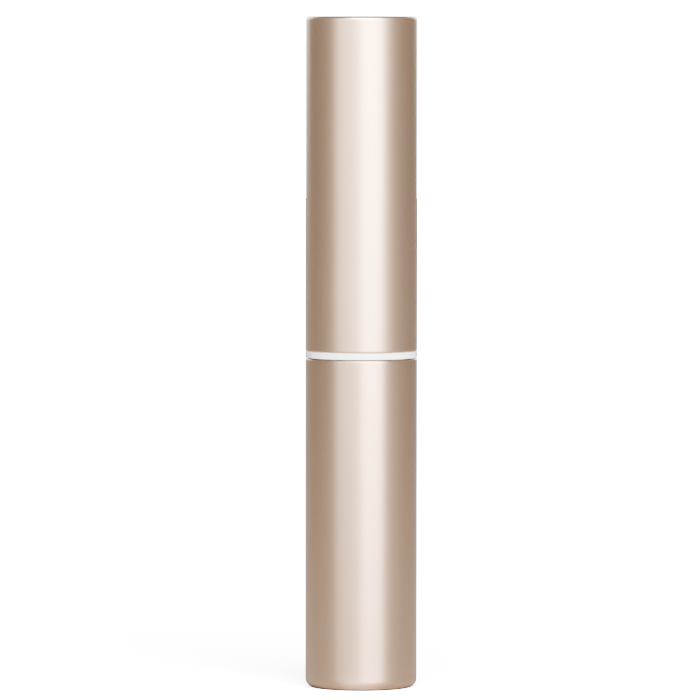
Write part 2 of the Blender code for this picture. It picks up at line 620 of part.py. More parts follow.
def make_board(chassis):
    foot = BULKHEAD_TOP + SEAT
    shoulder = CAVITY_TOP - 2 * SEAT
    top = NECK_LENGTH + BOARD_TAB_RISE
    wide = BOARD_HALF
    tab = BOARD_TAB_HALF
    outline = [(-wide, foot), (wide, foot), (wide, shoulder), (tab, shoulder), (tab, top), (-tab, top)]
    outline += [(-tab, shoulder), (-wide, shoulder)]
    holes = [arc(place, SCREW_SHANK / 2 + HOLE_CLEARANCE, 0, -330, 11) for place in SCREWS.values()]
    upright = (math.radians(90), 0, 0)
    plate("circuit_board", [outline] + holes, BOARD_THICKNESS, chassis,
          at=(0, BOARD_FACE + BOARD_THICKNESS / 2, 0), turn=upright, coat=BOARD)

    front = BOARD_FACE - SEAT
    size = SWITCH_BODY
    body = box("slide_switch", (-size[0] / 2, front - size[1], SWITCH_HEIGHT - size[2] / 2),
               (size[0] / 2, front, SWITCH_HEIGHT + size[2] / 2), chassis, coat=STEEL)
    half = LEVER_WIDTH / 2 + SLIDER_GAP
    reach = LEVER_HEIGHT / 2 + TRAVEL / 2 + SLIDER_GAP
    mouth = front - size[1]
    cut(body, box("lever_slot", (-half, mouth - SEAT, SWITCH_HEIGHT - reach),
                  (half, mouth + SWITCH_SLOT_DEPTH, SWITCH_HEIGHT + reach), chassis))

    back = BOARD_BACK + SEAT
    size = CHIP_BODY
    box("control_chip", (-size[0] / 2, back, SWITCH_HEIGHT - size[2] / 2),
        (size[0] / 2, back + size[1], SWITCH_HEIGHT + size[2] / 2), chassis, coat=CHIP)

    size = LED_BODY
    box("indicator_led", (-size[0] / 2, front - size[1], LED_HEIGHT - size[2] / 2),
        (size[0] / 2, front, LED_HEIGHT + size[2] / 2), chassis, coat=LED)
    pin("light_pipe", PIPE_DIAMETER / 2, (0, front - size[1] - SEAT, LED_HEIGHT),
        (0, -SPIGOT_RADIUS + SEAT, LED_HEIGHT), chassis, sides=16, coat=CLEAR)

    shank = SCREW_SHANK / 2
    head = SCREW_HEAD / 2
    profile = [(0, SCREW_HEAD_HEIGHT), (SCREW_HEAD_FLAT / 2, SCREW_HEAD_HEIGHT)]
    profile += [(head, SCREW_HEAD_HEIGHT / 2), (head, 0), (shank, 0)]
    profile += [(shank, shank - SCREW_LENGTH), (0, -SCREW_LENGTH)]
    for name, (x, height) in SCREWS.items():
        turned(name, profile, chassis, sides=PIN_SIDES, at=(x, front, height), turn=upright, coat=STEEL)


# Cell and its contacts

def make_cell(chassis):
    can = CELL_LENGTH - NUB_HEIGHT
    crimp = CELL_CRIMP
    nub = NUB_DIAMETER / 2
    profile = [(0, CELL_LENGTH), (nub - crimp / 2, CELL_LENGTH), (nub, CELL_LENGTH - crimp / 2), (nub, can)]
    profile += arc((CELL_RADIUS - crimp, can - crimp), crimp, 90, 0, 2)
    profile += arc((CELL_RADIUS - crimp, crimp), crimp, 0, -90, 2)
    profile += [(0, 0)]
    turned("battery_cell", profile, chassis, sides=32, at=(0, 0, CELL_FOOT), coat=JACKET)

    half = PLATE_WIDTH / 2
    contact = box("positive_contact", (-half, -half, PLATE_FLOOR),
                  (half, half, PLATE_FLOOR + CONTACT_THICKNESS), chassis, coat=NICKEL)
    join(contact, box("contact_tab", (-half, TAB_FRONT, PLATE_FLOOR),
                      (-half + TAB_WIDTH, TAB_FRONT + CONTACT_THICKNESS, BULKHEAD_TOP + TAB_RISE), chassis))

    tongue = -SPRING_FOOT_RADIUS
    leg = BOARD_BACK + SEAT
    outline = [(tongue, STRIP_FLOOR), (STRIP_BACK, STRIP_FLOOR), (STRIP_BACK, STRIP_TOP), (leg, STRIP_TOP)]
    outline += [(leg, STRIP_TOP - CONTACT_THICKNESS), (STRIP_FRONT, STRIP_TOP - CONTACT_THICKNESS)]
    outline += [(STRIP_FRONT, STRIP_FLOOR + CONTACT_THICKNESS), (tongue, STRIP_FLOOR + CONTACT_THICKNESS)]
    plate("negative_strip", [outline], STRIP_WIDTH, chassis,
          turn=(math.radians(90), 0, math.radians(90)), coat=NICKEL)

    points = []
    steps = POINTS_PER_TURN * SPRING_TURNS
    for step in range(steps + 1):
        share = step / steps
        radius = SPRING_FOOT_RADIUS + (SPRING_TOP_RADIUS - SPRING_FOOT_RADIUS) * share
        angle = 2 * math.pi * SPRING_TURNS * share
        height = SPRING_FOOT + SPRING_WIRE / 2 + (SPRING_HEIGHT - SPRING_WIRE) * share
        points.append((radius * math.cos(angle), radius * math.sin(angle), height))
    wire("negative_spring", points, SPRING_WIRE / 2, chassis, coat=NICKEL)
    print(f"negative_spring least gap {least_gap(points, SPRING_WIRE) / MM:.2f} mm")


# Head: shoulder, curved comb and the wire that is wound on it and led back through it

def rod_centre(height):
    """Centre of the comb's rod, straight in the shoulder and bowed to the rear above it."""
    share = max(0.0, (height - HEAD_TOP) / (ROD_TOP - HEAD_TOP))
    return Vector((0, 4 * ROD_BEND * share * (1 - share), height))


def rod_normal(height):
    """Direction to the rear, square to the rod."""
    slope = 0.0
    if height > HEAD_TOP:
        share = (height - HEAD_TOP) / (ROD_TOP - HEAD_TOP)
        slope = 4 * ROD_BEND * (1 - 2 * share) / (ROD_TOP - HEAD_TOP)
    return Vector((0, 1, -slope)).normalized()


def around(turns):
    """Direction from the rod to the winding after a number of turns."""
    angle = 2 * math.pi * turns
    normal = rod_normal(WINDING_FOOT + WIRE_PITCH * turns)
    return Vector((math.cos(angle), 0, 0)) + normal * math.sin(angle)


def rod_line(reach):
    """Points up the middle of the rod, going past both ends by the reach."""
    heights = [ROD_FOOT - reach, HEAD_TOP]
    steps = 10
    heights += [HEAD_TOP + (ROD_TOP - HEAD_TOP) * step / steps for step in range(1, steps + 1)]
    points = [rod_centre(height) for height in heights]
    along = (points[-1] - points[-2]).normalized()
    points[-1] = points[-1] + along * reach
    return points


def make_head_base(chassis):
    low = HEAD_FOOT + HEAD_WALL
    profile = [(HEAD_TOP_RADIUS - NECK_EDGE, HEAD_TOP)]
    profile += [(HEAD_TOP_RADIUS, HEAD_TOP - NECK_EDGE)]
    steps = 6
    for step in range(1, steps + 1):
        share = step / steps
        ease = share * share * (3 - 2 * share)
        profile.append((HEAD_TOP_RADIUS + (SPIGOT_RADIUS - HEAD_TOP_RADIUS) * ease,
                        HEAD_TOP - NECK_EDGE + (low - HEAD_TOP + NECK_EDGE) * share))
    skirt = TOP_SPIGOT_RADIUS + GLUE_GAP
    ceiling = FRAME_TOP + SEAT
    profile += [(SPIGOT_RADIUS, HEAD_FOOT), (skirt, HEAD_FOOT), (skirt, ceiling)]
    profile += [(ROD_HOLE, ceiling), (ROD_HOLE, HEAD_TOP)]
    base = turned("head_base", profile, chassis, loop=True, coat=BLACK)
    cut(base, pin("lead_hole", WIRE_HOLE, (LEAD_RADIUS, 0, FRAME_TOP), (LEAD_RADIUS, 0, HEAD_TOP + END_WALL),
                  chassis))


def tooth(shape, height, side):
    """One flat tapered tooth, square to the rod on one side of it."""
    normal = rod_normal(height)
    across = Vector((side, 0, 0))
    root = math.sqrt(ROD_RADIUS ** 2 - (TOOTH_WIDTH / 2) ** 2) - SEAT
    tip = COIL_RADIUS + WIRE_RADIUS + TOOTH_REACH
    place = Matrix.Translation(rod_centre(height) + across * (root + tip) / 2)
    turn = Matrix((normal, across.cross(normal), across)).transposed().to_4x4()
    flatten = Matrix.Diagonal((1, TOOTH_THICKNESS / TOOTH_WIDTH, 1, 1))
    bmesh.ops.create_cone(shape, cap_ends=True, segments=10, radius1=TOOTH_WIDTH / 2,
                          radius2=TOOTH_TIP_WIDTH / 2, depth=tip - root, matrix=place @ turn @ flatten)


def make_comb(chassis):
    core = as_mesh(wire("comb_core", rod_line(0), ROD_RADIUS, chassis, resolution=4, coat=BLACK))
    bore = as_mesh(wire("rod_bore", rod_line(END_WALL), ROD_BORE, chassis, resolution=2))
    mesh = bpy.data.meshes.new("comb_teeth")
    shape = bmesh.new()
    rows = int(WIRE_TURNS)
    for row in range(rows):
        tooth(shape, WINDING_FOOT + WIRE_PITCH * (row + 0.5), 1)
        tooth(shape, WINDING_FOOT + WIRE_PITCH * (row + 1), -1)
    shape.to_mesh(mesh)
    shape.free()
    teeth = add("comb_teeth", mesh, chassis)
    end = rod_centre(WINDING_TOP)
    way_in = pin("wire_way_in", WIRE_HOLE + HOLE_CLEARANCE, end, end + 2 * ROD_RADIUS * around(WIRE_TURNS),
                 chassis)
    join(core, teeth)
    cut(core, bore, way_in)

    slope = math.atan2(4 * ROD_BEND, ROD_TOP - HEAD_TOP)
    profile = [(0, SEAT + GUARD_CROWN)]
    profile += arc((GUARD_RADIUS - GUARD_CROWN, SEAT), GUARD_CROWN, 75, 0, 4)
    profile += [(GUARD_RADIUS, NECK_EDGE - GUARD_GRIP), (GUARD_RADIUS - NECK_EDGE, -GUARD_GRIP)]
    profile += [(ROD_HOLE, -GUARD_GRIP), (ROD_HOLE, SEAT), (0, SEAT)]
    turned("tip_guard", profile, chassis, sides=SMALL_SIDES, at=rod_centre(ROD_TOP), turn=(slope, 0, 0),
           coat=SOFT_BLACK)


def make_heater(chassis):
    pad = BOARD_FACE - SEAT - WIRE_RADIUS
    pad_height = NECK_LENGTH + BOARD_TAB_RISE / 2
    points = [Vector((LEAD_RADIUS, pad, pad_height)), Vector((LEAD_RADIUS, 0, FRAME_TOP))]
    points.append(Vector((LEAD_RADIUS, 0, HEAD_TOP)))
    settle_turns = 0.3
    for step in range(round(WIRE_TURNS * POINTS_PER_TURN) + 1):
        turns = step / POINTS_PER_TURN
        early = max(0.0, 1 - turns / settle_turns)
        radius = COIL_RADIUS + (LEAD_RADIUS - COIL_RADIUS) * early
        drop = WIRE_START / 2 * early * early
        centre = rod_centre(WINDING_FOOT + WIRE_PITCH * turns)
        points.append(centre + around(turns) * radius - Vector((0, 0, drop)))
    way_in = rod_centre(WINDING_TOP)
    points.append(way_in + around(WIRE_TURNS) * (ROD_RADIUS - WIRE_RADIUS))
    points.append(way_in + around(WIRE_TURNS) * WIRE_DIAMETER)
    points.append(rod_centre(WINDING_TOP - WIRE_DIAMETER))
    points += [point for point in reversed(rod_line(0)) if point.z < WINDING_TOP - 2 * WIRE_DIAMETER]
    points.append(Vector((0, pad, pad_height)))
    wire("heater_wire", points, WIRE_RADIUS, chassis, coat=NICHROME)
    print(f"heater_wire least gap {least_gap(points, WIRE_DIAMETER) / MM:.2f} mm")


BARREL_AXIS = axis("barrel_axis", None, 0.0)
CHASSIS_AXIS = axis("chassis_axis", BARREL_AXIS, BARREL_LENGTH)
CAP_AXIS = axis("cap_axis", CHASSIS_AXIS, CAP_MOUTH)
SWITCH_AXIS = axis("switch_axis", CHASSIS_AXIS, SLIDER_OFF)
bpy.context.view_layer.update()

make_barrel(BARREL_AXIS)
make_cap(CAP_AXIS)
make_frame(CHASSIS_AXIS)
make_switch(SWITCH_AXIS)
make_board(CHASSIS_AXIS)
make_cell(CHASSIS_AXIS)
make_head_base(CHASSIS_AXIS)
make_comb(CHASSIS_AXIS)
make_heater(CHASSIS_AXIS)
PEN_LENGTH = BARREL_LENGTH + CAP_MOUTH + CAP_LENGTH
print(f"diameter {2 * BODY_RADIUS / MM:.1f} mm, length {PEN_LENGTH / MM:.1f} mm")
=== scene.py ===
# %% [markdown]
# # A pocket heated eyelash curler
#
# This lesson dresses a packed construction model: a round pen with a satin champagne cap and barrel,
# a white collar ring between them, and a wire-wound comb under the cap. The construction gives every
# piece its place and its joint. Here each piece gets its fine shape and its finish.

# %% Load the construction
import json
import math

import bmesh
import bpy
from mathutils import Matrix, Vector


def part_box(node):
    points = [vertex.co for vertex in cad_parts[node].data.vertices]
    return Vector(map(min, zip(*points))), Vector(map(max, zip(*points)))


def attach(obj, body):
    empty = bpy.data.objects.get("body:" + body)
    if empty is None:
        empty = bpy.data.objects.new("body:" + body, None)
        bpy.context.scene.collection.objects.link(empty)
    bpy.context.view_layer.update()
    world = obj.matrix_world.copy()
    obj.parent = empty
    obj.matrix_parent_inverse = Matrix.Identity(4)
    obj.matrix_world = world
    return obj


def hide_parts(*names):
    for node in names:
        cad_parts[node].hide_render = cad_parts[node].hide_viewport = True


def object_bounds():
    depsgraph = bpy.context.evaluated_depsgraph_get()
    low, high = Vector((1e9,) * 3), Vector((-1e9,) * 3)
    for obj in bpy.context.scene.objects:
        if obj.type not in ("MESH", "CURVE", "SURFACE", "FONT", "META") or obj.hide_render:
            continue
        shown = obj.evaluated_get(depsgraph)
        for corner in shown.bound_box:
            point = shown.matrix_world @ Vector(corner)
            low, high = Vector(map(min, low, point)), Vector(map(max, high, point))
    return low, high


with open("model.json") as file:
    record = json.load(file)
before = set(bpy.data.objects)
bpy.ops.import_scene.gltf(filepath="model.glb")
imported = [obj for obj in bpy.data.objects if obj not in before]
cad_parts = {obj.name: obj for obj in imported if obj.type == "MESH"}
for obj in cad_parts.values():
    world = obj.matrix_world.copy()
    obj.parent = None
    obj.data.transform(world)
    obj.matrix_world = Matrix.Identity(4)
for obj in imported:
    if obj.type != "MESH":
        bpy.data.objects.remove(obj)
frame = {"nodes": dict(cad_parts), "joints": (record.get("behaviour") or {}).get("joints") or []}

MM = 0.001
CAD_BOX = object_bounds()
PEN_TOP = CAD_BOX[1].z
print("nodes:", len(frame["nodes"]), "with the pen", round(PEN_TOP / MM, 1), "mm tall")

# %% [markdown]
# ## Camera
#
# The picture is taken from far away with a long lens: the sides of the pen stay parallel, and the
# horizon lies at its top, so that the ring sags only a little. A level camera with a lens shift would
# do, but the shift would follow the camera to every other view. Aiming the camera a few degrees down
# gives the same framing.

# %% Camera
PICTURE_SIDE = 700
CAMERA_DISTANCE = 1.116
FOCAL_PIXELS = 6893
PEN_CENTRE_COLUMN = 361.65
PEN_TOP_ROW = 16.1
SENSOR = 36
LEAN = math.radians(0.055)

bpy.ops.object.camera_add(location=(0, -CAMERA_DISTANCE, PEN_TOP))
camera = bpy.context.object
camera.name = "photo_camera"
camera.data.sensor_width = SENSOR
camera.data.lens = FOCAL_PIXELS / PICTURE_SIDE * SENSOR
down = math.atan((PICTURE_SIDE / 2 - PEN_TOP_ROW) / FOCAL_PIXELS)
left = math.atan((PEN_CENTRE_COLUMN - PICTURE_SIDE / 2) / FOCAL_PIXELS)
camera.rotation_euler = (math.radians(90) - down, -LEAN, left)
bpy.context.scene.camera = camera
print(f"lens {camera.data.lens:.0f} mm, aimed {math.degrees(down):.2f} degrees down")

# %% [markdown]
# ## Light
#
# A satin tube shows its studio: each column of its surface mirrors one direction of the room. The
# pen is brightest a little right of the middle, fades slowly to the left and quickly to the right,
# and both sides are dark up to a soft pale rim. That is one tall softbox beside the camera, a wide weak
# one on the other side, a dim room, and a low box behind that stands just above the horizon, so that the
# rims only graze it. A strong box high above the camera whitens the plastic, and the metal hardly mirrors
# it. Camera rays see a white surround that lights nothing, and the floor only catches the shadow at the
# foot.

# %% Softboxes
SOFTBOX_DISTANCE = 1.5


def softbox(name, azimuth, elevation, width, height, radiance):
    """Area light that faces the pen, placed by its direction as seen from the pen."""
    turn = math.radians(azimuth)
    rise = math.radians(elevation)
    aim = Vector((0, 0, PEN_TOP / 2))
    direction = Vector((math.sin(turn) * math.cos(rise), -math.cos(turn) * math.cos(rise), math.sin(rise)))
    bpy.ops.object.light_add(type="AREA", location=aim + direction * SOFTBOX_DISTANCE)
    light = bpy.context.object
    light.name = name
    light.rotation_euler = direction.to_track_quat("Z", "Y").to_euler()
    light.data.shape = "RECTANGLE"
    light.data.size = width
    light.data.size_y = height
    light.data.energy = radiance * math.pi * width * height
    light.visible_camera = False
    print(f"{name}: {width} x {height} m at {azimuth} degrees, {light.data.energy:.0f} W")


softbox("key_softbox", azimuth=22, elevation=12, width=1.22, height=1.6, radiance=11.1)
softbox("fill_softbox", azimuth=-27, elevation=10, width=1.44, height=1.6, radiance=2.5)
softbox("high_softbox", azimuth=5, elevation=36, width=1.2, height=0.85, radiance=13.5)
softbox("back_softbox", azimuth=-175, elevation=17, width=2.0, height=0.76, radiance=3.3)


# %% Node helpers
def set_inputs(node, values):
    for label, value in values.items():
        node.inputs[label].default_value = value


def add_node(tree, kind, values=None, **settings):
    """New shader node with its settings, and then the values of its inputs."""
    node = tree.nodes.new("ShaderNode" + kind)
    for label, value in settings.items():
        setattr(node, label, value)
    set_inputs(node, values or {})
    return node


def connect(tree, *links):
    """Join nodes; each link names a node, its output, the next node and its input."""
    for start, output, end, entry in links:
        tree.links.new(start.outputs[output], end.inputs[entry])


def new_material(name):
    """Material with nodes; returns it, its tree and its shader."""
    material = bpy.data.materials.new(name)
    material.use_nodes = True
    return material, material.node_tree, material.node_tree.nodes["Principled BSDF"]


# %% Room and floor
ROOM_LEVEL = 0.335
ROOM_TINT = (1.0, 0.97, 0.94, 1.0)
WHITE_LEVEL = 8.5
FLOOR_SIDE = 6
PAINTED_POOL_CENTRE = -0.016
FLOOR_BRIGHT = 0.004
FLOOR_DIM = 0.010
PAINTED_POOL_COLOUR = (0.68, 0.67, 0.66, 1)
FLOOR_GREY = (0.25, 0.24, 0.23, 1)


def white_room():
    """Dim room for the light, white for the camera."""
    world = bpy.data.worlds.new("studio_room")
    world.use_nodes = True
    tree = world.node_tree
    room = tree.nodes["Background"]
    set_inputs(room, {"Color": ROOM_TINT, "Strength": ROOM_LEVEL})
    surround = add_node(tree, "Background", {"Color": (1.0, 1.0, 1.0, 1.0), "Strength": WHITE_LEVEL})
    path = add_node(tree, "LightPath")
    choice = add_node(tree, "MixShader")
    connect(tree, (path, "Is Camera Ray", choice, "Fac"), (room, "Background", choice, 1),
            (surround, "Background", choice, 2), (choice, "Shader", tree.nodes["World Output"], "Surface"))
    return world


def painted_pool_floor():
    """A pool of light painted paler close before the foot, where the pen mirrors it, and a greyer floor
    beyond.
    """
    material, tree, shader = new_material("painted_pool_floor")
    set_inputs(shader, {"Roughness": 0.9})
    coordinates = add_node(tree, "TexCoord")
    distance = add_node(tree, "VectorMath", {1: (0, PAINTED_POOL_CENTRE, 0)}, operation="DISTANCE")
    fade = add_node(tree, "MapRange", {"From Min": FLOOR_BRIGHT, "From Max": FLOOR_DIM},
                    interpolation_type="SMOOTHSTEP")
    # The paler colour is painted light: a pool before the foot that the pen mirrors; the grey beyond is the
    # plain floor.
    paint = add_node(tree, "Mix", {"A": PAINTED_POOL_COLOUR, "B": FLOOR_GREY}, data_type="RGBA")
    connect(tree, (coordinates, "Object", distance, 0), (distance, "Value", fade, "Value"),
            (fade, "Result", paint, "Factor"), (paint, "Result", shader, "Base Color"))
    return material


bpy.context.scene.world = white_room()
bpy.ops.mesh.primitive_plane_add(size=FLOOR_SIDE, location=(0, 0, CAD_BOX[0].z))
floor = bpy.context.object
floor.name = "studio_floor"
floor.is_shadow_catcher = True
floor.data.materials.append(painted_pool_floor())
print("floor:", FLOOR_SIDE, "m wide")

# %% [markdown]
# The photograph's highlights fade to white without a hard edge, as on film. The AgX view with a little
# more contrast has that shoulder, so one metal colour gives both the brown sides and the pale middle.

# %% View
bpy.context.scene.view_settings.view_transform = "AgX"
bpy.context.scene.view_settings.look = "AgX - Medium High Contrast"
print("view:", bpy.context.scene.view_settings.look)

# %% [markdown]
# ## Surfaces
#
# No real surface has one colour and one gloss all over. Two small node groups serve the pen's materials:
# one gives wide soft spots and a fine grain, the other the fine lines that turning and drawing leave.
# They work on the object's own coordinates, so the pattern stays with the piece when it moves.

# %% Shared surface groups
LINE_SQUEEZE = (0.02, 0.02, 1.0)


def group_tree(name, *labels):
    """Node group with a number of each label going in and out; returns the tree and its two ends."""
    tree = bpy.data.node_groups.new(name, "ShaderNodeTree")
    for way in ("INPUT", "OUTPUT"):
        for label in labels:
            tree.interface.new_socket(label, in_out=way, socket_type="NodeSocketFloat")
    return tree, tree.nodes.new("NodeGroupInput"), tree.nodes.new("NodeGroupOutput")


def surface_group():
    """Soft spots and a fine grain, each by the number of them in a metre."""
    tree, start, end = group_tree("surface_texture", "Spots", "Grain")
    coordinates = add_node(tree, "TexCoord")
    for label, detail in (("Spots", 2.0), ("Grain", 3.0)):
        noise = add_node(tree, "TexNoise", {"Detail": detail})
        connect(tree, (coordinates, "Object", noise, "Vector"), (start, label, noise, "Scale"),
                (noise, "Fac", end, label))
    return tree


def lines_group():
    """Fine lines round the pen's axis, by the number of them in a metre of height."""
    tree, start, end = group_tree("turned_lines", "Lines")
    coordinates = add_node(tree, "TexCoord")
    squeeze = add_node(tree, "VectorMath", {1: LINE_SQUEEZE}, operation="MULTIPLY")
    noise = add_node(tree, "TexNoise", {"Detail": 2.0})
    connect(tree, (coordinates, "Object", squeeze, 0), (squeeze, "Vector", noise, "Vector"),
            (start, "Lines", noise, "Scale"), (noise, "Fac", end, "Lines"))
    return tree


SURFACE = surface_group()
LINES = lines_group()
print("node groups:", SURFACE.name, "and", LINES.name)

# %% Shared material
MICRON = 0.001 * MM


def surface(name, pale, deep, gloss, spots, grain, relief, metallic=0.0, turned=False, extra=None):
    """Material that wanders between two colours and two roughnesses, over a relief in microns."""
    material, tree, shader = new_material(name)
    set_inputs(shader, {"Metallic": metallic} | (extra or {}))
    texture = add_node(tree, "Group", {"Spots": spots, "Grain": grain}, node_tree=SURFACE)
    height = (texture, "Grain")
    if turned:
        height = (add_node(tree, "Group", {"Lines": grain}, node_tree=LINES), "Lines")
    colour = add_node(tree, "Mix", {"A": (*pale, 1), "B": (*deep, 1)}, name="colour", data_type="RGBA")
    rough = add_node(tree, "MapRange", {"To Min": gloss[0], "To Max": gloss[1]})
    bump = add_node(tree, "Bump", {"Distance": relief * MICRON})
    connect(tree, (texture, "Spots", colour, "Factor"), (texture, "Spots", rough, "Value"),
            (*height, bump, "Height"), (colour, "Result", shader, "Base Color"),
            (rough, "Result", shader, "Roughness"), (bump, "Normal", shader, "Normal"))
    return material


def lay_over(material, node, output, start, end, colour):
    """Second colour over a material where a value passes from start to end; returns the mask's node."""
    tree = material.node_tree
    mask = add_node(tree, "MapRange", {"From Min": start, "From Max": end})
    over = add_node(tree, "Mix", {"B": (*colour, 1)}, data_type="RGBA")
    connect(tree, (node, output, mask, "Value"), (mask, "Result", over, "Factor"),
            (tree.nodes["colour"], "Result", over, "A"),
            (over, "Result", tree.nodes["Principled BSDF"], "Base Color"))
    return mask


# %% [markdown]
# ## The materials
#
# The tubes are blasted fine and anodised: a metal with a soft sheen and a grain too small to see. The
# collar and the neck are smooth white mouldings, and the head is black and spark-eroded, so that it
# doesn't shine. Each function gives one material the values that set it apart.

# %% Metals
def champagne_aluminium(name, gloss):
    return surface(name, (0.785, 0.562, 0.406), (0.765, 0.548, 0.396), gloss,
                   spots=120, grain=24000, relief=0.4, metallic=1.0)


def champagne_lacquer():
    return surface("champagne_lacquer", (0.60, 0.405, 0.285), (0.56, 0.375, 0.26), (0.34, 0.4),
                   spots=500, grain=20000, relief=0.6, metallic=0.85,
                   extra={"Coat Weight": 0.25, "Coat Roughness": 0.2})


def heater_alloy():
    """Drawn wire with the straw tint of its first heating."""
    return surface("heater_alloy", (0.66, 0.64, 0.61), (0.62, 0.52, 0.38), (0.24, 0.36),
                   spots=260, grain=9000, relief=2, metallic=1.0)


def nickel_steel():
    return surface("nickel_steel", (0.76, 0.74, 0.70), (0.66, 0.64, 0.60), (0.18, 0.3),
                   spots=400, grain=12000, relief=1, metallic=1.0)


def screw_steel():
    return surface("screw_steel", (0.56, 0.56, 0.57), (0.46, 0.46, 0.47), (0.28, 0.4),
                   spots=600, grain=9000, relief=2, metallic=1.0, turned=True)


def can_steel():
    return surface("can_steel", (0.74, 0.73, 0.71), (0.66, 0.65, 0.63), (0.2, 0.32),
                   spots=500, grain=9000, relief=1, metallic=1.0, turned=True)


# %% Plastics
DULL = {"Specular IOR Level": 0.2}


def white_plastic():
    return surface("white_plastic", (0.925, 0.92, 0.912), (0.90, 0.892, 0.88), (0.3, 0.36),
                   spots=250, grain=9000, relief=0.6)


def neck_shaded_white():
    """The same white painted darker as shade, which keeps the neck's edges readable in strong light."""
    return surface("neck_shaded_white", (0.77, 0.76, 0.74), (0.73, 0.72, 0.695), (0.34, 0.42),
                   spots=250, grain=9000, relief=0.8)


def liner_plastic():
    return surface("liner_plastic", (0.84, 0.84, 0.83), (0.79, 0.79, 0.78), (0.44, 0.54),
                   spots=200, grain=6000, relief=2, turned=True)


def heatproof_plastic():
    """Spark-eroded black, whose texture swallows most of the gloss."""
    return surface("heatproof_plastic", (0.011, 0.011, 0.012), (0.007, 0.007, 0.008), (0.52, 0.64),
                   spots=400, grain=9000, relief=8, extra=DULL)


def soft_tip():
    return surface("soft_tip", (0.016, 0.016, 0.017), (0.011, 0.011, 0.012), (0.66, 0.8),
                   spots=600, grain=7000, relief=8, extra=DULL)


def grip_silicone():
    return surface("grip_silicone", (0.24, 0.24, 0.25), (0.18, 0.18, 0.19), (0.62, 0.76),
                   spots=400, grain=6000, relief=4)


def pipe_acrylic():
    """Clear rod that carries the lamp's light to the front."""
    return surface("pipe_acrylic", (0.93, 0.95, 0.95), (0.88, 0.91, 0.91), (0.06, 0.16),
                   spots=900, grain=9000, relief=0.6, extra={"Transmission Weight": 0.9, "IOR": 1.49})


# %% Electronics and the cell
BAND_EDGE = 0.1 * MM


def chip_resin():
    return surface("chip_resin", (0.026, 0.026, 0.028), (0.018, 0.018, 0.02), (0.5, 0.62),
                   spots=900, grain=14000, relief=6)


def led_resin():
    return surface("led_resin", (0.88, 0.83, 0.58), (0.82, 0.76, 0.48), (0.22, 0.34),
                   spots=1500, grain=9000, relief=1)


def board_laminate():
    """Green mask with copper lines under it."""
    material = surface("board_laminate", (0.02, 0.17, 0.075), (0.012, 0.12, 0.052), (0.34, 0.5),
                       spots=500, grain=9000, relief=2)
    tree = material.node_tree
    coordinates = add_node(tree, "TexCoord")
    copper = add_node(tree, "TexWave", {"Scale": 250, "Distortion": 2.0}, bands_direction="X")
    connect(tree, (coordinates, "Object", copper, "Vector"))
    lay_over(material, copper, "Fac", 0.8, 0.86, (0.05, 0.26, 0.11))
    return material


def cell_jacket(band_height):
    """Metal film, printed dark below a line at the given height and bare above it."""
    material = surface("cell_jacket", (0.007, 0.016, 0.045), (0.005, 0.012, 0.036), (0.26, 0.36),
                       spots=200, grain=5000, relief=2)
    tree = material.node_tree
    coordinates = add_node(tree, "TexCoord")
    split = add_node(tree, "SeparateXYZ")
    connect(tree, (coordinates, "Object", split, "Vector"))
    bare = lay_over(material, split, "Z", band_height, band_height + BAND_EDGE, (0.56, 0.55, 0.53))
    connect(tree, (bare, "Result", tree.nodes["Principled BSDF"], "Metallic"))
    return material


# %% Mix the materials
CAP_METAL = champagne_aluminium("cap_aluminium", (0.325, 0.355))
BARREL_METAL = champagne_aluminium("barrel_aluminium", (0.275, 0.305))
LACQUER = champagne_lacquer()
WHITE = white_plastic()
NECK_SHADED_WHITE = neck_shaded_white()
LINER = liner_plastic()
BLACK = heatproof_plastic()
SOFT_BLACK = soft_tip()
ALLOY = heater_alloy()
NICKEL = nickel_steel()
STEEL = screw_steel()
SILICONE = grip_silicone()
CLEAR = pipe_acrylic()
print("materials:", len(bpy.data.materials))

# %% [markdown]
# ## Turned pieces
#
# Most of this pen is turned or drawn, so one helper draws half a section point by point, as with
# repeated extrusion by hand, and turns it about the pen's axis. A cylinder with insets would need a
# new bevel for each edge. In a section every radius is simply part of the line. Spin would turn it too,
# but it numbers the faces anew in each run. A Screw modifier without any rise always numbers them alike.

# %% Turning helpers
WELD = 0.001 * MM
SUPPORT = 0.2 * MM
SMOOTH = math.radians(35)
SIDES = 192


def use(piece):
    """Select one piece alone and make it active."""
    bpy.ops.object.select_all(action="DESELECT")
    piece.select_set(True)
    bpy.context.view_layer.objects.active = piece


def name_new(name):
    piece = bpy.context.object
    piece.name = name
    piece.data.name = name
    return piece


def arc(centre, radius, start, end, count=6):
    """Points along an arc in a section, angles in degrees from outwards to upwards."""
    angles = [math.radians(start + (end - start) * step / count) for step in range(count + 1)]
    return [(centre[0] + radius * math.cos(a), centre[1] + radius * math.sin(a)) for a in angles]


def top_edge(radius, height, edge, count=6):
    """Rounded upper edge, from the top out to the side."""
    return arc((radius - edge, height - edge), edge, 90, 0, count)


def foot_edge(radius, height, edge, count=6):
    """Rounded lower edge, from the side in to the foot."""
    return arc((radius - edge, height + edge), edge, 0, -90, count)


def ring(centre, radius):
    """Points all round a circle, one every 15 degrees."""
    return arc(centre, radius, 90, -255, 23)


def supported(section):
    """Add a point close to each end of every long straight, so that the wall between them shades flat."""
    points = [Vector(section[0])]
    for end in map(Vector, section[1:]):
        run = end - points[-1]
        if run.length > 4 * SUPPORT:
            reach = run.normalized() * SUPPORT
            points += [points[-1] + reach, end - reach]
        points.append(end)
    return points


def draw_line(name, points):
    """Line drawn by extruding one point after another; stays in edit mode."""
    bpy.ops.object.select_all(action="DESELECT")
    bpy.ops.mesh.primitive_plane_add(size=MM)
    line = name_new(name)
    bpy.ops.object.mode_set(mode="EDIT")
    bpy.ops.mesh.select_mode(type="VERT")
    bpy.ops.mesh.merge(type="CENTER")
    bpy.ops.transform.translate(value=points[0])
    for here, there in zip(points, points[1:]):
        bpy.ops.mesh.extrude_region_move(TRANSFORM_OT_translate={"value": there - here})
    return line


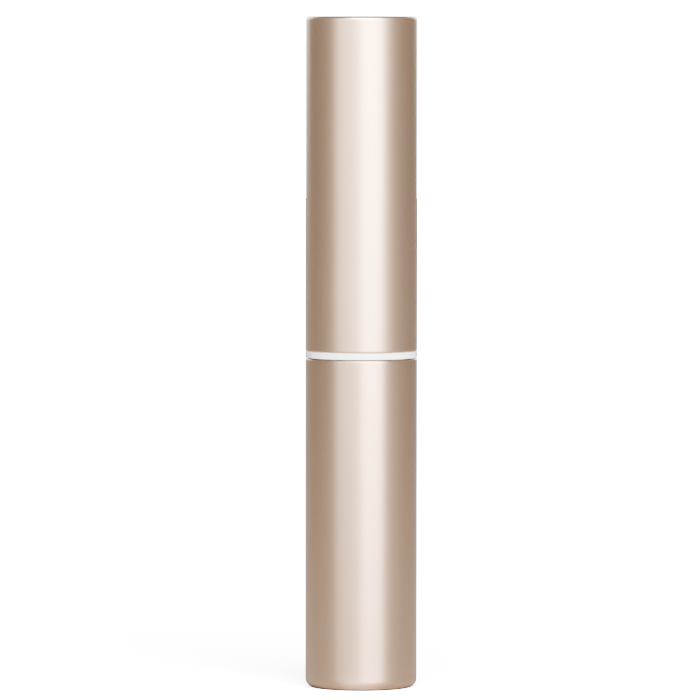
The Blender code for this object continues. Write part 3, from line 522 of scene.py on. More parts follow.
def weld(piece):
    """Merge points that meet and turn the faces outwards; ends in object mode, smooth."""
    bpy.ops.mesh.select_all(action="SELECT")
    bpy.ops.mesh.remove_doubles(threshold=WELD)
    bpy.ops.mesh.normals_make_consistent(inside=False)
    bpy.ops.object.mode_set(mode="OBJECT")
    bpy.ops.object.shade_smooth_by_angle(angle=SMOOTH)
    print(f"{piece.name}: {len(piece.data.polygons)} faces")


def turn_piece(name, section, closed=False, steps=SIDES):
    """Draw a section of (radius, height) points and turn it; a closed section goes round a hole."""
    piece = draw_line(name, [Vector((radius, 0, height)) for radius, height in supported(section)])
    if closed:
        line = bmesh.from_edit_mesh(piece.data)
        for vert in line.verts:
            vert.select_set(len(vert.link_edges) == 1)
        bpy.ops.mesh.edge_face_add()
    bpy.ops.object.mode_set(mode="OBJECT")
    bpy.ops.object.modifier_add(type="SCREW")
    turning = piece.modifiers[-1]
    turning.steps = steps
    turning.render_steps = steps
    bpy.ops.object.modifier_apply(modifier=turning.name)
    bpy.ops.object.mode_set(mode="EDIT")
    weld(piece)
    return piece


def place(piece, body, slot, material, *nodes):
    """Give a finished piece its material and its body, and hide the nodes that it stands for; the slot is
    not used.
    """
    piece.data.materials.clear()
    piece.data.materials.append(material)
    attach(piece, body)
    if nodes:
        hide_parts(*nodes)


# %% [markdown]
# ## Cap and barrel
#
# Both are drawn aluminium cups. The cap ends in a narrow rounded edge and the barrel in a wider one,
# and their lips at the collar are just broken. The whole cup, inside and out, is one line from the
# axis round the lip and back to the axis.

# %% Cap and barrel
SHELL_WALL = 0.7 * MM
CAP_TOP_WALL = 0.8 * MM
CAP_EDGE = 0.6 * MM
BASE_WALL = 0.9 * MM
BASE_EDGE = 1.4 * MM
CAP_LIP = 0.2 * MM
BARREL_LIP = 0.12 * MM
LIP_RISE = 0.08 * MM

cap_low, cap_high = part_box("cap_shell")
barrel_low, barrel_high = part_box("barrel_shell")
pen_radius = cap_high.x
shell_bore = pen_radius - SHELL_WALL
mouth = barrel_high.z


def lip(height, side, edge):
    """Rounded lip of a tube, from its outer wall round to its bore; side is 1 upwards and -1 downwards."""
    inset = height - side * edge
    outer = arc((pen_radius - edge, inset), edge, 0, side * 90)
    return outer + arc((shell_bore + edge, inset), edge, side * 90, side * 180)


section = [(0, cap_high.z)]
section += top_edge(pen_radius, cap_high.z, CAP_EDGE, count=10)
section += lip(cap_low.z, -1, CAP_LIP)
section += arc((shell_bore - CAP_EDGE, cap_high.z - CAP_TOP_WALL - CAP_EDGE), CAP_EDGE, 0, 90)
section += [(0, cap_high.z - CAP_TOP_WALL)]
place(turn_piece("cap_tube", section), "cap", "champagne_aluminium", CAP_METAL, "cap_shell")

inner_edge = BASE_EDGE - SHELL_WALL
section = [(0, barrel_low.z)]
section += reversed(foot_edge(pen_radius, barrel_low.z, BASE_EDGE, count=12))
section += lip(mouth + LIP_RISE, 1, BARREL_LIP)
section += arc((shell_bore - inner_edge, BASE_WALL + inner_edge), inner_edge, 0, -90)
section += [(0, BASE_WALL)]
place(turn_piece("barrel_tube", section), "barrel", "champagne_aluminium", BARREL_METAL, "barrel_shell")

# %% [markdown]
# ## Collar and sleeves
#
# The white collar is a plain ring. In the photograph its upper seam is almost closed and the lower one
# is a fine dark line, so the ring nearly meets the cap. The sleeves are glued into the tubes: the one
# in the cap has a bead that snaps into a groove of the neck.

# %% Collar and sleeves
RING_EDGE = 0.06 * MM
RING_TOP_SEAM = 0.04 * MM
RING_FOOT_SEAM = 0.2 * MM
RING_FIT = 0.1 * MM
SLEEVE_WALL = 0.9 * MM
SLEEVE_LEAD = 0.3 * MM
BEAD_HEIGHT = 0.08 * MM
GROOVE_DEPTH = 0.2 * MM
GROOVE_REACH = 0.5 * MM
GROOVE_ABOVE_MOUTH = 3.2 * MM
SWELL_STEPS = 12

neck_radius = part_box("head_base")[1].x
groove_height = mouth + GROOVE_ABOVE_MOUTH


def swell(radius, rise, height):
    """Soft bead or groove in a wall, from its upper end down; rise is outwards."""
    shares = [step / SWELL_STEPS for step in range(SWELL_STEPS + 1)]
    return [(radius + rise * math.sin(math.pi * share) ** 2, height + GROOVE_REACH * (1 - 2 * share))
            for share in shares]


top = cap_low.z - RING_TOP_SEAM
foot = mouth + LIP_RISE + RING_FOOT_SEAM
section = top_edge(pen_radius, top, RING_EDGE, count=4)
section += foot_edge(pen_radius, foot, RING_EDGE, count=4)
section += [(neck_radius + RING_FIT, foot), (neck_radius + RING_FIT, top)]
place(turn_piece("collar_band", section, closed=True), "chassis", "white_plastic", WHITE, "collar_ring")

low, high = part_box("cap_liner")
sleeve_bore = high.x - SLEEVE_WALL
section = [(high.x, high.z), (high.x, low.z)]
section += arc((sleeve_bore + SLEEVE_LEAD, low.z + SLEEVE_LEAD), SLEEVE_LEAD, -90, -180)
section += reversed(swell(sleeve_bore, -BEAD_HEIGHT, groove_height))
section += [(sleeve_bore, high.z)]
place(turn_piece("cap_sleeve", section, closed=True), "cap", "liner_plastic", LINER, "cap_liner")

low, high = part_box("barrel_liner")
section = [(high.x, high.z), (high.x, low.z), (sleeve_bore, low.z)]
section += arc((sleeve_bore + SLEEVE_LEAD, high.z - SLEEVE_LEAD), SLEEVE_LEAD, 180, 90)
place(turn_piece("barrel_sleeve", section, closed=True), "barrel", "liner_plastic", LINER, "barrel_liner")

# %% [markdown]
# ## Cutting and rounding
#
# The neck and the switch aren't round all over, so they are cut from turned or square blanks, as a
# toolmaker would. A cutter is used up by its cut. Edges that a finger or the eye finds are rounded
# afterwards, chosen by where they lie.

# %% Cutting helpers
SLIVER = 0.005 * MM
FLAT = math.radians(0.1)


def cut(piece, cutter, operation="DIFFERENCE"):
    use(piece)
    bpy.ops.object.modifier_add(type="BOOLEAN")
    modifier = piece.modifiers[-1]
    modifier.operation = operation
    modifier.solver = "EXACT"
    modifier.object = cutter
    bpy.ops.object.modifier_apply(modifier=modifier.name)
    bpy.data.objects.remove(cutter)


def block(name, low, high):
    """Box between two corners."""
    low = Vector(low)
    high = Vector(high)
    bpy.ops.object.select_all(action="DESELECT")
    bpy.ops.mesh.primitive_cube_add(size=1, location=(low + high) / 2)
    piece = name_new(name)
    bpy.ops.transform.resize(value=high - low)
    bpy.ops.object.transform_apply()
    return piece


def rod(name, radius, start, end, sides=48):
    """Straight round bar between two points."""
    start = Vector(start)
    run = Vector(end) - start
    bpy.ops.object.select_all(action="DESELECT")
    bpy.ops.mesh.primitive_cylinder_add(vertices=sides, radius=radius, depth=run.length,
                                        location=start + run / 2,
                                        rotation=run.to_track_quat("Z", "Y").to_euler())
    piece = name_new(name)
    bpy.ops.object.transform_apply()
    return piece


def edit(piece):
    """Open one piece alone in edit mode, with all of it selected."""
    use(piece)
    bpy.ops.object.mode_set(mode="EDIT")
    bpy.ops.mesh.select_all(action="SELECT")


def clean(piece, triangles=False):
    """Merge the slivers that cuts leave where edges nearly meet; stays in edit mode."""
    edit(piece)
    if triangles:
        bpy.ops.mesh.quads_convert_to_tris()
    bpy.ops.mesh.remove_doubles(threshold=SLIVER)
    bpy.ops.mesh.dissolve_degenerate(threshold=SLIVER)


def seal(piece):
    """Turn a piece whose cuts are done into triangles without slivers."""
    clean(piece, triangles=True)
    weld(piece)


def round_edges(piece, width, chosen, segments=3, sharp=30):
    """Bevel the sharp edges whose middle is chosen."""
    clean(piece)
    bpy.ops.mesh.select_mode(type="EDGE")
    bpy.ops.mesh.select_all(action="DESELECT")
    shape = bmesh.from_edit_mesh(piece.data)
    picked = 0
    for edge in shape.edges:
        middle = (edge.verts[0].co + edge.verts[1].co) / 2
        if math.degrees(edge.calc_face_angle(0)) > sharp and chosen(middle):
            edge.select_set(True)
            picked += 1
    bmesh.update_edit_mesh(piece.data)
    bpy.ops.mesh.bevel(offset=width, segments=segments, affect="EDGES", clamp_overlap=True)
    print(f"{piece.name}: {picked} edges rounded")
    weld(piece)


def corners(side, low, high):
    """Chooser for the four edges of a block that run from front to back."""
    def chosen(at):
        return abs(abs(at.x) - side) < WELD and min(abs(at.z - low), abs(at.z - high)) < WELD
    return chosen


# %% [markdown]
# A bevel on an edge that crosses the many strips of a turned face has no room and comes out thin. So a
# rounded front is made flat first, where a bevel works, then divided by upright planes and bowed back
# until it follows the round neck. The mouth of a hole is rounded by flaring its cutter.

# %% Bowing helpers
SLICE = 0.4 * MM
FLARE_ANGLES = (25, 50, 70)


def slice_upright(piece, reach):
    """Divide a block by upright planes within the reach of its middle."""
    edit(piece)
    count = round(reach / SLICE)
    for step in range(-count, count):
        bpy.ops.mesh.select_all(action="SELECT")
        bpy.ops.mesh.bisect(plane_co=(SLICE * (step + 0.5), 0, 0), plane_no=(1, 0, 0))
    bpy.ops.object.mode_set(mode="OBJECT")


def bow(piece, radius, back):
    """Move the points before the back until a flat front follows a round one."""
    edit(piece)
    shape = bmesh.from_edit_mesh(piece.data)
    for vert in shape.verts:
        if vert.co.y < back:
            vert.co.y += radius - math.sqrt(radius ** 2 - vert.co.x ** 2)
    bmesh.update_edit_mesh(piece.data)
    bpy.ops.mesh.quads_convert_to_tris()
    bpy.ops.object.mode_set(mode="OBJECT")


def flare(edge):
    """Steps of a rounded mouth as growth and height, with a last one that slopes past the surface."""
    angles = [math.radians(angle) for angle in FLARE_ANGLES]
    steps = [(edge * (1 - math.cos(angle)), edge * math.sin(angle)) for angle in angles]
    growth, height = steps[-1]
    return steps + [(growth + edge * math.sin(angles[-1]), height + edge * math.cos(angles[-1]))]


def lay_down(piece, back, height):
    """Turn an upright piece to face the front."""
    piece.rotation_euler = (math.radians(90), 0, 0)
    piece.location = (0, back, height)
    bpy.ops.object.transform_apply()


# %% [markdown]
# ## Neck
#
# Two white mouldings meet in a seam on both sides of the pen. The front one has the pocket of the
# switch and the hole of the lamp. The rear one goes on below the collar as the tray of the battery,
# open to the front, with a thumb notch on both sides. Both come from the same turned blank.

# %% Neck blank
PARTING = 0.1 * MM
SEAT = 0.15 * MM
FLANGE = 0.8 * MM
FLANGE_EDGE = 0.12 * MM
NECK_EDGE = 0.3 * MM
TOP_SPIGOT_RADIUS = 5.4 * MM
TOP_SPIGOT_WALL = 1.1 * MM
NECK_WALL = 1.2 * MM
CEILING = 0.8 * MM
GRIP_WIRE = 0.6 * MM
CELL_CLEARANCE = 0.25 * MM
SHEET = 0.3 * MM
NECK_SIDES = 120
WIDE = 2 * pen_radius

frame_low, frame_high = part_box("rear_frame")
spigot_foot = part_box("front_frame")[0].z
cell_low, cell_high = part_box("battery_cell")
grip_low, grip_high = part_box("grip_ring")
board_low, board_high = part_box("circuit_board")
strip_low, strip_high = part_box("negative_strip")
contact_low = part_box("positive_contact")[0]
neck_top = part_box("head_base")[0].z - PARTING
bay_radius = cell_high.x + CELL_CLEARANCE
bay_floor = strip_low.z - SEAT
bay_top = cell_high.z + SHEET + 2 * SEAT
bulkhead_top = board_low.z - SEAT
print(f"neck {2 * neck_radius / MM:.1f} mm across, room for the cell {2 * bay_radius / MM:.1f} mm")


def neck_blank(name, foot_line):
    """Outside of the neck from the top down, ending in the given line below the spigot."""
    grip = neck_radius - GRIP_WIRE
    section = [(0, frame_high.z), (TOP_SPIGOT_RADIUS - SEAT, frame_high.z)]
    section += [(TOP_SPIGOT_RADIUS, frame_high.z - SEAT), (TOP_SPIGOT_RADIUS, neck_top)]
    section += top_edge(neck_radius, neck_top, NECK_EDGE)
    section += swell(neck_radius, -GROOVE_DEPTH, groove_height)
    section += [(neck_radius, mouth)]
    section += top_edge(frame_high.x, mouth, FLANGE_EDGE, count=4)
    section += foot_edge(frame_high.x, mouth - FLANGE, FLANGE_EDGE, count=4)
    section += [(neck_radius, mouth - FLANGE), (neck_radius, grip_high.z + SEAT), (grip, grip_high.z + SEAT)]
    section += [(grip, grip_low.z - SEAT), (neck_radius, grip_low.z - SEAT), (neck_radius, spigot_foot)]
    return turn_piece(name, section + foot_line + [(0, foot_line[-1][1])], steps=NECK_SIDES)


def neck_hollow(name):
    """Room for the board above the bulkhead."""
    top_bore = TOP_SPIGOT_RADIUS - TOP_SPIGOT_WALL
    bore = neck_radius - NECK_WALL
    past_top = frame_high.z + CEILING
    ceiling = neck_top - CEILING
    section = [(0, past_top), (top_bore, past_top), (top_bore, ceiling)]
    section += [(bore, ceiling), (bore, bulkhead_top), (0, bulkhead_top)]
    return turn_piece(name, section, steps=NECK_SIDES)


def cell_bay(name):
    return rod(name, bay_radius, (0, 0, bay_floor), (0, 0, bay_top), sides=NECK_SIDES)


# %% Cutters of the front half
POCKET_GAP = 0.2 * MM
POCKET_CORNER = 0.6 * MM
POCKET_EDGE = 0.18 * MM
POCKET_FLOOR = 1.0 * MM
POCKET_WALL = 1.0 * MM
STEM_WIDTH = 2.6 * MM
STEM_HEIGHT = 2.4 * MM
PIPE_FIT = 0.15 * MM
LAMP_EDGE = 0.12 * MM
PIPE_SIDES = 64

slider_low, slider_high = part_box("switch_slider")
pipe_low, pipe_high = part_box("light_pipe")
pipe_middle = (pipe_low.z + pipe_high.z) / 2
travel = next(joint["range_m"][1] for joint in frame["joints"] if joint["name"] == "switch_slide")
pocket_face = slider_high.y - POCKET_FLOOR
slider_back = pocket_face - SEAT
pocket_side = slider_high.x + POCKET_GAP
pocket_low = slider_low.z - POCKET_GAP
pocket_high = slider_high.z + travel + POCKET_GAP
print(f"pocket {2 * pocket_side / MM:.1f} x {(pocket_high - pocket_low) / MM:.1f} mm")


def pocket_cutter(name):
    """Cutter for the pocket: rounded corners and a flared mouth that follows the neck."""
    middle = (pocket_low + pocket_high) / 2
    half = (pocket_high - pocket_low) / 2
    piece = block(name, (-pocket_side, POCKET_EDGE - neck_radius, pocket_low),
                  (pocket_side, pocket_face, pocket_high))
    round_edges(piece, POCKET_CORNER, corners(pocket_side, pocket_low, pocket_high), segments=8)
    bpy.ops.object.mode_set(mode="EDIT")
    bpy.ops.mesh.select_mode(type="FACE")
    shape = bmesh.from_edit_mesh(piece.data)
    for face in shape.faces:
        face.select_set(face.normal.y < -0.9)
    grown = 0
    reached = 0
    for growth, height in flare(POCKET_EDGE):
        bpy.ops.mesh.extrude_faces_indiv()
        bpy.ops.transform.translate(value=(0, reached - height, 0))
        wider = ((pocket_side + growth) / (pocket_side + grown), 1, (half + growth) / (half + grown))
        bpy.ops.transform.resize(value=wider, center_override=(0, 0, middle))
        grown = growth
        reached = height
    bpy.ops.object.mode_set(mode="OBJECT")
    slice_upright(piece, pocket_side - POCKET_CORNER)
    bow(piece, neck_radius, pocket_face - WELD)
    return piece


def lamp_hole(name):
    """Cutter for the lamp's hole, with a flared mouth."""
    radius = pipe_high.x + PIPE_FIT
    start = neck_radius - LAMP_EDGE
    mouth_line = [(radius + growth, start + height) for growth, height in reversed(flare(LAMP_EDGE))]
    section = [(0, mouth_line[0][1])] + mouth_line + [(radius, start), (radius, 0), (0, 0)]
    piece = turn_piece(name, section, steps=PIPE_SIDES)
    lay_down(piece, 0, pipe_middle)
    bow(piece, neck_radius, 2 * LAMP_EDGE - neck_radius)
    return piece


# %% Front half of the neck
front = neck_blank("neck_front", [(bay_radius / 2, spigot_foot)])
hollow = neck_hollow("front_hollow")
wall = pocket_side + POCKET_WALL
cut(hollow, block("pocket_wall", (-wall, -WIDE, pocket_low - POCKET_WALL),
                  (wall, slider_high.y, pocket_high + POCKET_WALL)))
cut(front, hollow)
cut(front, cell_bay("front_bay"))
cut(front, block("rear_side", (-WIDE, -PARTING / 2, 0), (WIDE, WIDE, PEN_TOP)))
cut(front, pocket_cutter("switch_pocket"))
slider_middle = (slider_low.z + slider_high.z) / 2
slot_side = STEM_WIDTH / 2 + POCKET_GAP
slot_reach = STEM_HEIGHT / 2 + POCKET_GAP
cut(front, block("switch_slot", (-slot_side, pocket_face - SEAT, slider_middle - slot_reach),
                 (slot_side, slider_high.y + SEAT, slider_middle + travel + slot_reach)))
cut(front, lamp_hole("lamp_hole"))
seal(front)
place(front, "chassis", "white_plastic", NECK_SHADED_WHITE, "front_frame")

# %% Rear half of the neck
SLOT_FIT = 0.2 * MM
BOSS_RADIUS = 1.25 * MM
PILOT_RADIUS = 0.75 * MM

tray_radius = -frame_low.y
rear = neck_blank("neck_rear", [(tray_radius, spigot_foot), (tray_radius, frame_low.z + NECK_EDGE),
                                (tray_radius - NECK_EDGE, frame_low.z)])
hollow = neck_hollow("rear_hollow")
pilots = []
for node in ("board_screw_lower", "board_screw_upper"):
    screw_low, screw_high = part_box(node)
    x = (screw_low.x + screw_high.x) / 2
    z = (screw_low.z + screw_high.z) / 2
    cut(hollow, rod("boss", BOSS_RADIUS, (x, board_high.y + SEAT, z), (x, WIDE, z)))
    pilots.append(rod("pilot", PILOT_RADIUS, (x, board_high.y, z), (x, screw_high.y + SLOT_FIT, z)))
cut(rear, hollow)
for pilot in pilots:
    cut(rear, pilot)
cut(rear, cell_bay("rear_bay"))
cut(rear, block("front_side", (-WIDE, -WIDE, spigot_foot - SEAT), (WIDE, PARTING / 2, PEN_TOP)))

# %% Tray in the rear half
TRAY_WRAP = math.radians(20)
LIP_EDGE = 0.25 * MM
THUMB_RADIUS = 9.0 * MM
THUMB_SIDES = 160
TAB_WIDTH = 1.2 * MM

tray_lip = -bay_radius * math.sin(TRAY_WRAP)
lip_start = tray_lip + LIP_EDGE
lip_inside = math.sqrt(bay_radius ** 2 - tray_lip ** 2)
lip_outside = math.sqrt(tray_radius ** 2 - lip_start ** 2)
thumb_middle = (bay_floor + spigot_foot) / 2
tray_mouth = block("tray_mouth", (-WIDE, -WIDE, bay_floor), (WIDE, lip_start, spigot_foot))
for side in (-1, 1):
    near, far = sorted((side * lip_inside, side * lip_outside))
    lip_bar = block("lip_bar", (near, tray_lip, bay_floor - MM), (far, lip_start + MM, spigot_foot + MM))
    round_edges(lip_bar, LIP_EDGE, lambda at: at.y < tray_lip + WELD and abs(at.z - thumb_middle) < MM)
    cut(tray_mouth, lip_bar)
cut(rear, tray_mouth)
thumb_centre = cell_high.x / 2 - THUMB_RADIUS
cut(rear, rod("thumb_notch", THUMB_RADIUS, (-WIDE, thumb_centre, thumb_middle),
              (WIDE, thumb_centre, thumb_middle), sides=THUMB_SIDES))
strip_room = strip_high.x + SLOT_FIT
groove_front = math.sqrt(bay_radius ** 2 - strip_room ** 2) - SLOT_FIT
cut(rear, block("strip_groove", (-strip_room, groove_front, bay_floor),
                (strip_room, strip_high.y + SLOT_FIT, strip_high.z + SLOT_FIT)))
tab_front = board_high.y + 2 * SEAT
cut(rear, block("tab_slot", (contact_low.x - SLOT_FIT, tab_front - SLOT_FIT, bay_top - SEAT),
                (contact_low.x + TAB_WIDTH + SLOT_FIT, tab_front + SHEET + SLOT_FIT, bulkhead_top + SEAT)))
seal(rear)
place(rear, "chassis", "white_plastic", NECK_SHADED_WHITE, "rear_frame")

# %% [markdown]
# ## Switch
#
# The slider sits in its pocket, level with the neck, with scooped grooves for the finger. Its blank is
# a block with rounded edges whose front is bowed as round as the neck. Straight cutters would leave
# grooves that run out on the round face, so each groove is cut by a piece of a turned ring. A stem
# behind reaches through the slot. The backplate and the lever hold it from inside and keep their
# construction shape, with their edges softened.

# %% Slider
GROOVES = 5
GROOVE_PITCH = 0.9 * MM
GROOVE_RADIUS = 0.32 * MM
SLIDER_CORNER = 0.6 * MM
SLIDER_EDGE = 0.2 * MM
LEVER_SIDE = 0.75 * MM
LEVER_REACH = 0.85 * MM


def slider_piece():
    piece = block("slider", (-slider_high.x, slider_low.y, slider_low.z),
                  (slider_high.x, slider_back, slider_high.z))
    round_edges(piece, SLIDER_CORNER, corners(slider_high.x, slider_low.z, slider_high.z), segments=8)
    round_edges(piece, SLIDER_EDGE, lambda at: at.y < slider_low.y + WELD, segments=4)
    reach = slider_high.x - SLIDER_CORNER
    slice_upright(piece, reach)
    bow(piece, -slider_low.y, slider_back - WELD)
    for row in range(GROOVES):
        height = slider_middle + GROOVE_PITCH * (row - (GROOVES - 1) / 2)
        section = ring((-slider_low.y, height), GROOVE_RADIUS)
        groove = turn_piece("groove", section, closed=True, steps=NECK_SIDES)
        kept = block("groove_reach", (-reach, -WIDE, height - MM), (reach, 0, height + MM))
        cut(groove, kept, "INTERSECT")
        cut(piece, groove)
    cut(piece, block("stem", (-STEM_WIDTH / 2, slider_back - SEAT, slider_middle - STEM_HEIGHT / 2),
                     (STEM_WIDTH / 2, slider_high.y, slider_middle + STEM_HEIGHT / 2)), "UNION")
    cut(piece, block("lever_socket", (-LEVER_SIDE, pocket_face, slider_middle - LEVER_REACH),
                     (LEVER_SIDE, slider_high.y + SEAT, slider_middle + LEVER_REACH)))
    seal(piece)
    return piece


place(slider_piece(), "switch", "champagne_lacquer", LACQUER, "switch_slider")

# %% Softened copies
PLATE_EDGE = 0.08 * MM


def soft_copy(name, node, edge):
    """Copy of a construction node with its triangles merged into faces and its edges broken."""
    piece = bpy.data.objects.new(name, frame["nodes"][node].data.copy())
    bpy.context.scene.collection.objects.link(piece)
    edit(piece)
    bpy.ops.mesh.remove_doubles(threshold=WELD)
    bpy.ops.mesh.dissolve_limited(angle_limit=FLAT)
    bpy.ops.object.mode_set(mode="OBJECT")
    round_edges(piece, edge, lambda at: True, segments=2)
    return piece


for name, node in (("slider_hold", "slider_backplate"), ("slider_lever", "switch_lever")):
    place(soft_copy(name, node, PLATE_EDGE), "switch", "heatproof_plastic", BLACK, node)

# %% [markdown]
# ## Lamp
#
# A clear rod brings the light of the lamp on the board to the front of the neck. Its end is a low dome.
# It is turned upright like everything else and then laid down to face the front.

# %% Light pipe
PIPE_DOME = 0.3 * MM


def light_pipe():
    length = pipe_high.y - pipe_low.y
    radius = pipe_high.x
    dome = (radius ** 2 + PIPE_DOME ** 2) / (2 * PIPE_DOME)
    tilt = math.degrees(math.asin(radius / dome))
    section = list(reversed(arc((0, length - dome), dome, 90 - tilt, 90, count=10))) + [(radius, 0), (0, 0)]
    piece = turn_piece("lamp_window", section, steps=PIPE_SIDES)
    lay_down(piece, pipe_high.y, pipe_middle)
    return piece


place(light_pipe(), "chassis", "pipe_acrylic", CLEAR, "light_pipe")

# %% [markdown]
# ## Head
#
# A black heat-proof shoulder narrows from the neck to the comb. The comb is a hollow rod, bowed a
# little to the rear like an eyelid, with two rows of teeth between the turns of the heating wire. Both
# the rod and the wire are lines first and get their thickness as curves. The tooth is modelled once and
# copied to each place.

# %% Shoulder
SHOULDER_SKIRT = 1.2 * MM
SPIGOT_FIT = 0.1 * MM
ROD_RADIUS = 1.6 * MM
ROD_HOLE = ROD_RADIUS + SEAT
LEAD_RADIUS = 2.7 * MM
LEAD_HOLE = 0.45 * MM
SHOULDER_TOP_RADIUS = 3.95 * MM
SHOULDER_STEPS = 24

head_low, head_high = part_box("head_base")


def shoulder_piece():
    top = head_high.z
    start = top - NECK_EDGE
    end = head_low.z + SHOULDER_SKIRT
    section = top_edge(SHOULDER_TOP_RADIUS, top, NECK_EDGE)
    spread = neck_radius - SHOULDER_TOP_RADIUS
    for step in range(1, SHOULDER_STEPS + 1):
        share = step / SHOULDER_STEPS
        ease = share * share * (3 - 2 * share)
        section.append((SHOULDER_TOP_RADIUS + spread * ease, start + (end - start) * share))
    skirt = TOP_SPIGOT_RADIUS + SPIGOT_FIT
    ceiling = frame_high.z + SEAT
    section += foot_edge(neck_radius, head_low.z, SEAT, count=4)
    section += [(skirt, head_low.z), (skirt, ceiling), (ROD_HOLE, ceiling), (ROD_HOLE, top)]
    piece = turn_piece("head_shoulder", section, closed=True)
    cut(piece, rod("lead_hole", LEAD_HOLE, (LEAD_RADIUS, 0, frame_high.z), (LEAD_RADIUS, 0, top + MM)))
    seal(piece)
    return piece


place(shoulder_piece(), "chassis", "heatproof_plastic", BLACK, "head_base")

# %% Line of the comb
WIRE_RADIUS = 0.25 * MM
COIL_RADIUS = 2.1 * MM
WINDING_START = 1.2 * MM
WINDING_PITCH = 1.45 * MM
WINDING_TURNS = 11.5
ROD_TAIL = 2.4 * MM
ROD_BOW = 1.2 * MM

winding_foot = head_high.z + WINDING_START
winding_top = winding_foot + WINDING_TURNS * WINDING_PITCH
rod_foot = frame_high.z + SEAT
rod_top = winding_top + ROD_TAIL
print(f"winding: {WINDING_TURNS} turns over {(winding_top - winding_foot) / MM:.1f} mm of the rod")


def rod_centre(height):
    """Middle of the comb's rod: straight in the shoulder, bowed to the rear above it."""
    share = max(0.0, (height - head_high.z) / (rod_top - head_high.z))
    return Vector((0, 4 * ROD_BOW * share * (1 - share), height))


def rod_rear(height):
    """Direction to the rear, square to the rod."""
    share = max(0.0, (height - head_high.z) / (rod_top - head_high.z))
    slope = 4 * ROD_BOW * (1 - 2 * share) / (rod_top - head_high.z) if share else 0.0
    return Vector((0, 1, -slope)).normalized()


def around(turns):
    """Direction from the rod to the winding after a number of turns."""
    angle = 2 * math.pi * turns
    rear_side = rod_rear(winding_foot + WINDING_PITCH * turns)
    return Vector((math.cos(angle), 0, 0)) + rear_side * math.sin(angle)


def rod_line(reach, steps=40):
    """Points up the middle of the rod, past both ends by the reach."""
    heights = [rod_foot - reach, head_high.z - MM, head_high.z]
    heights += [head_high.z + (rod_top - head_high.z) * step / steps for step in range(1, steps + 1)]
    points = [rod_centre(height) for height in heights]
    if reach:
        points.append(points[-1] + (points[-1] - points[-2]).normalized() * reach)
    return points


# %% Wire helper
def wire_piece(name, points, radius, roundness, bends=0):
    """Round wire along a drawn line: the line becomes a curve, gets its thickness and is a mesh again."""
    line = draw_line(name, points)
    if bends:
        bpy.ops.mesh.select_all(action="SELECT")
        bpy.ops.mesh.subdivide(number_cuts=2)
        shape = bmesh.from_edit_mesh(line.data)
        for vert in shape.verts:
            vert.select_set(len(vert.link_edges) == 2)
        bpy.ops.mesh.vertices_smooth(factor=0.5, repeat=bends)
    bpy.ops.object.mode_set(mode="OBJECT")
    bpy.ops.object.convert(target="CURVE")
    piece = bpy.context.object
    piece.data.bevel_depth = radius
    piece.data.bevel_resolution = roundness
    piece.data.use_fill_caps = True
    bpy.ops.object.convert(target="MESH")
    piece = name_new(name)
    bpy.ops.object.mode_set(mode="EDIT")
    weld(piece)
    return piece


# %% Comb
ROD_BORE = 0.65 * MM
WIRE_WAY = 0.42 * MM
TOOTH_TIP = 4.2 * MM
TOOTH_WIDTH = 2.0 * MM
TOOTH_TIP_WIDTH = 1.1 * MM
TOOTH_THICKNESS = 0.6 * MM
TOOTH_TIP_THICKNESS = 0.5 * MM
TOOTH_CORNER = 0.45 * MM
TOOTH_EDGE = 0.15 * MM


def comb_tooth():
    """One flat tooth that stands up on its root, drawn in to a rounded tip."""
    root = math.sqrt(ROD_RADIUS ** 2 - (TOOTH_WIDTH / 2) ** 2) - SEAT
    piece = block("tooth", (-TOOTH_WIDTH / 2, -TOOTH_THICKNESS / 2, root),
                  (TOOTH_WIDTH / 2, TOOTH_THICKNESS / 2, TOOTH_TIP))
    bpy.ops.object.mode_set(mode="EDIT")
    bpy.ops.mesh.select_mode(type="VERT")
    shape = bmesh.from_edit_mesh(piece.data)
    for vert in shape.verts:
        vert.select_set(vert.co.z > TOOTH_TIP - WELD)
    shape.select_flush_mode()
    narrower = (TOOTH_TIP_WIDTH / TOOTH_WIDTH, TOOTH_TIP_THICKNESS / TOOTH_THICKNESS, 1)
    bpy.ops.transform.resize(value=narrower)
    bpy.ops.object.mode_set(mode="OBJECT")
    round_edges(piece, TOOTH_CORNER, lambda at: at.z > TOOTH_TIP - WELD and abs(at.y) < WELD, segments=4)
    round_edges(piece, TOOTH_EDGE, lambda at: at.z > root + WELD)
    return piece


def comb_piece():
    piece = wire_piece("comb_rod", rod_line(0), ROD_RADIUS, roundness=14)
    tooth = comb_tooth()
    copies = []
    for row in range(int(WINDING_TURNS)):
        for side, offset in ((1, 0.5), (-1, 1.0)):
            height = winding_foot + WINDING_PITCH * (row + offset)
            across = Vector((side, 0, 0))
            rear_side = rod_rear(height)
            copy = tooth.copy()
            copy.data = tooth.data.copy()
            turn = Matrix((rear_side, across.cross(rear_side), across)).transposed().to_4x4()
            copy.matrix_world = Matrix.Translation(rod_centre(height)) @ turn
            bpy.context.scene.collection.objects.link(copy)
            copies.append(copy)
    bpy.data.objects.remove(tooth)
    use(copies[0])
    for copy in copies:
        copy.select_set(True)
    bpy.ops.object.join()
    bpy.ops.object.transform_apply()
    cut(piece, bpy.context.object, "UNION")
    cut(piece, wire_piece("rod_bore", rod_line(MM), ROD_BORE, roundness=6))
    entry = rod_centre(winding_top)
    cut(piece, rod("wire_way", WIRE_WAY, entry, entry + 2 * ROD_RADIUS * around(WINDING_TURNS)))
    print(f"{piece.name}: {2 * int(WINDING_TURNS)} teeth")
    seal(piece)
    return piece


place(comb_piece(), "chassis", "heatproof_plastic", BLACK, "comb_core")

# %% Heating wire
POINTS_PER_TURN = 30
SETTLE_TURNS = 0.3
PAD_RISE = 0.8 * MM


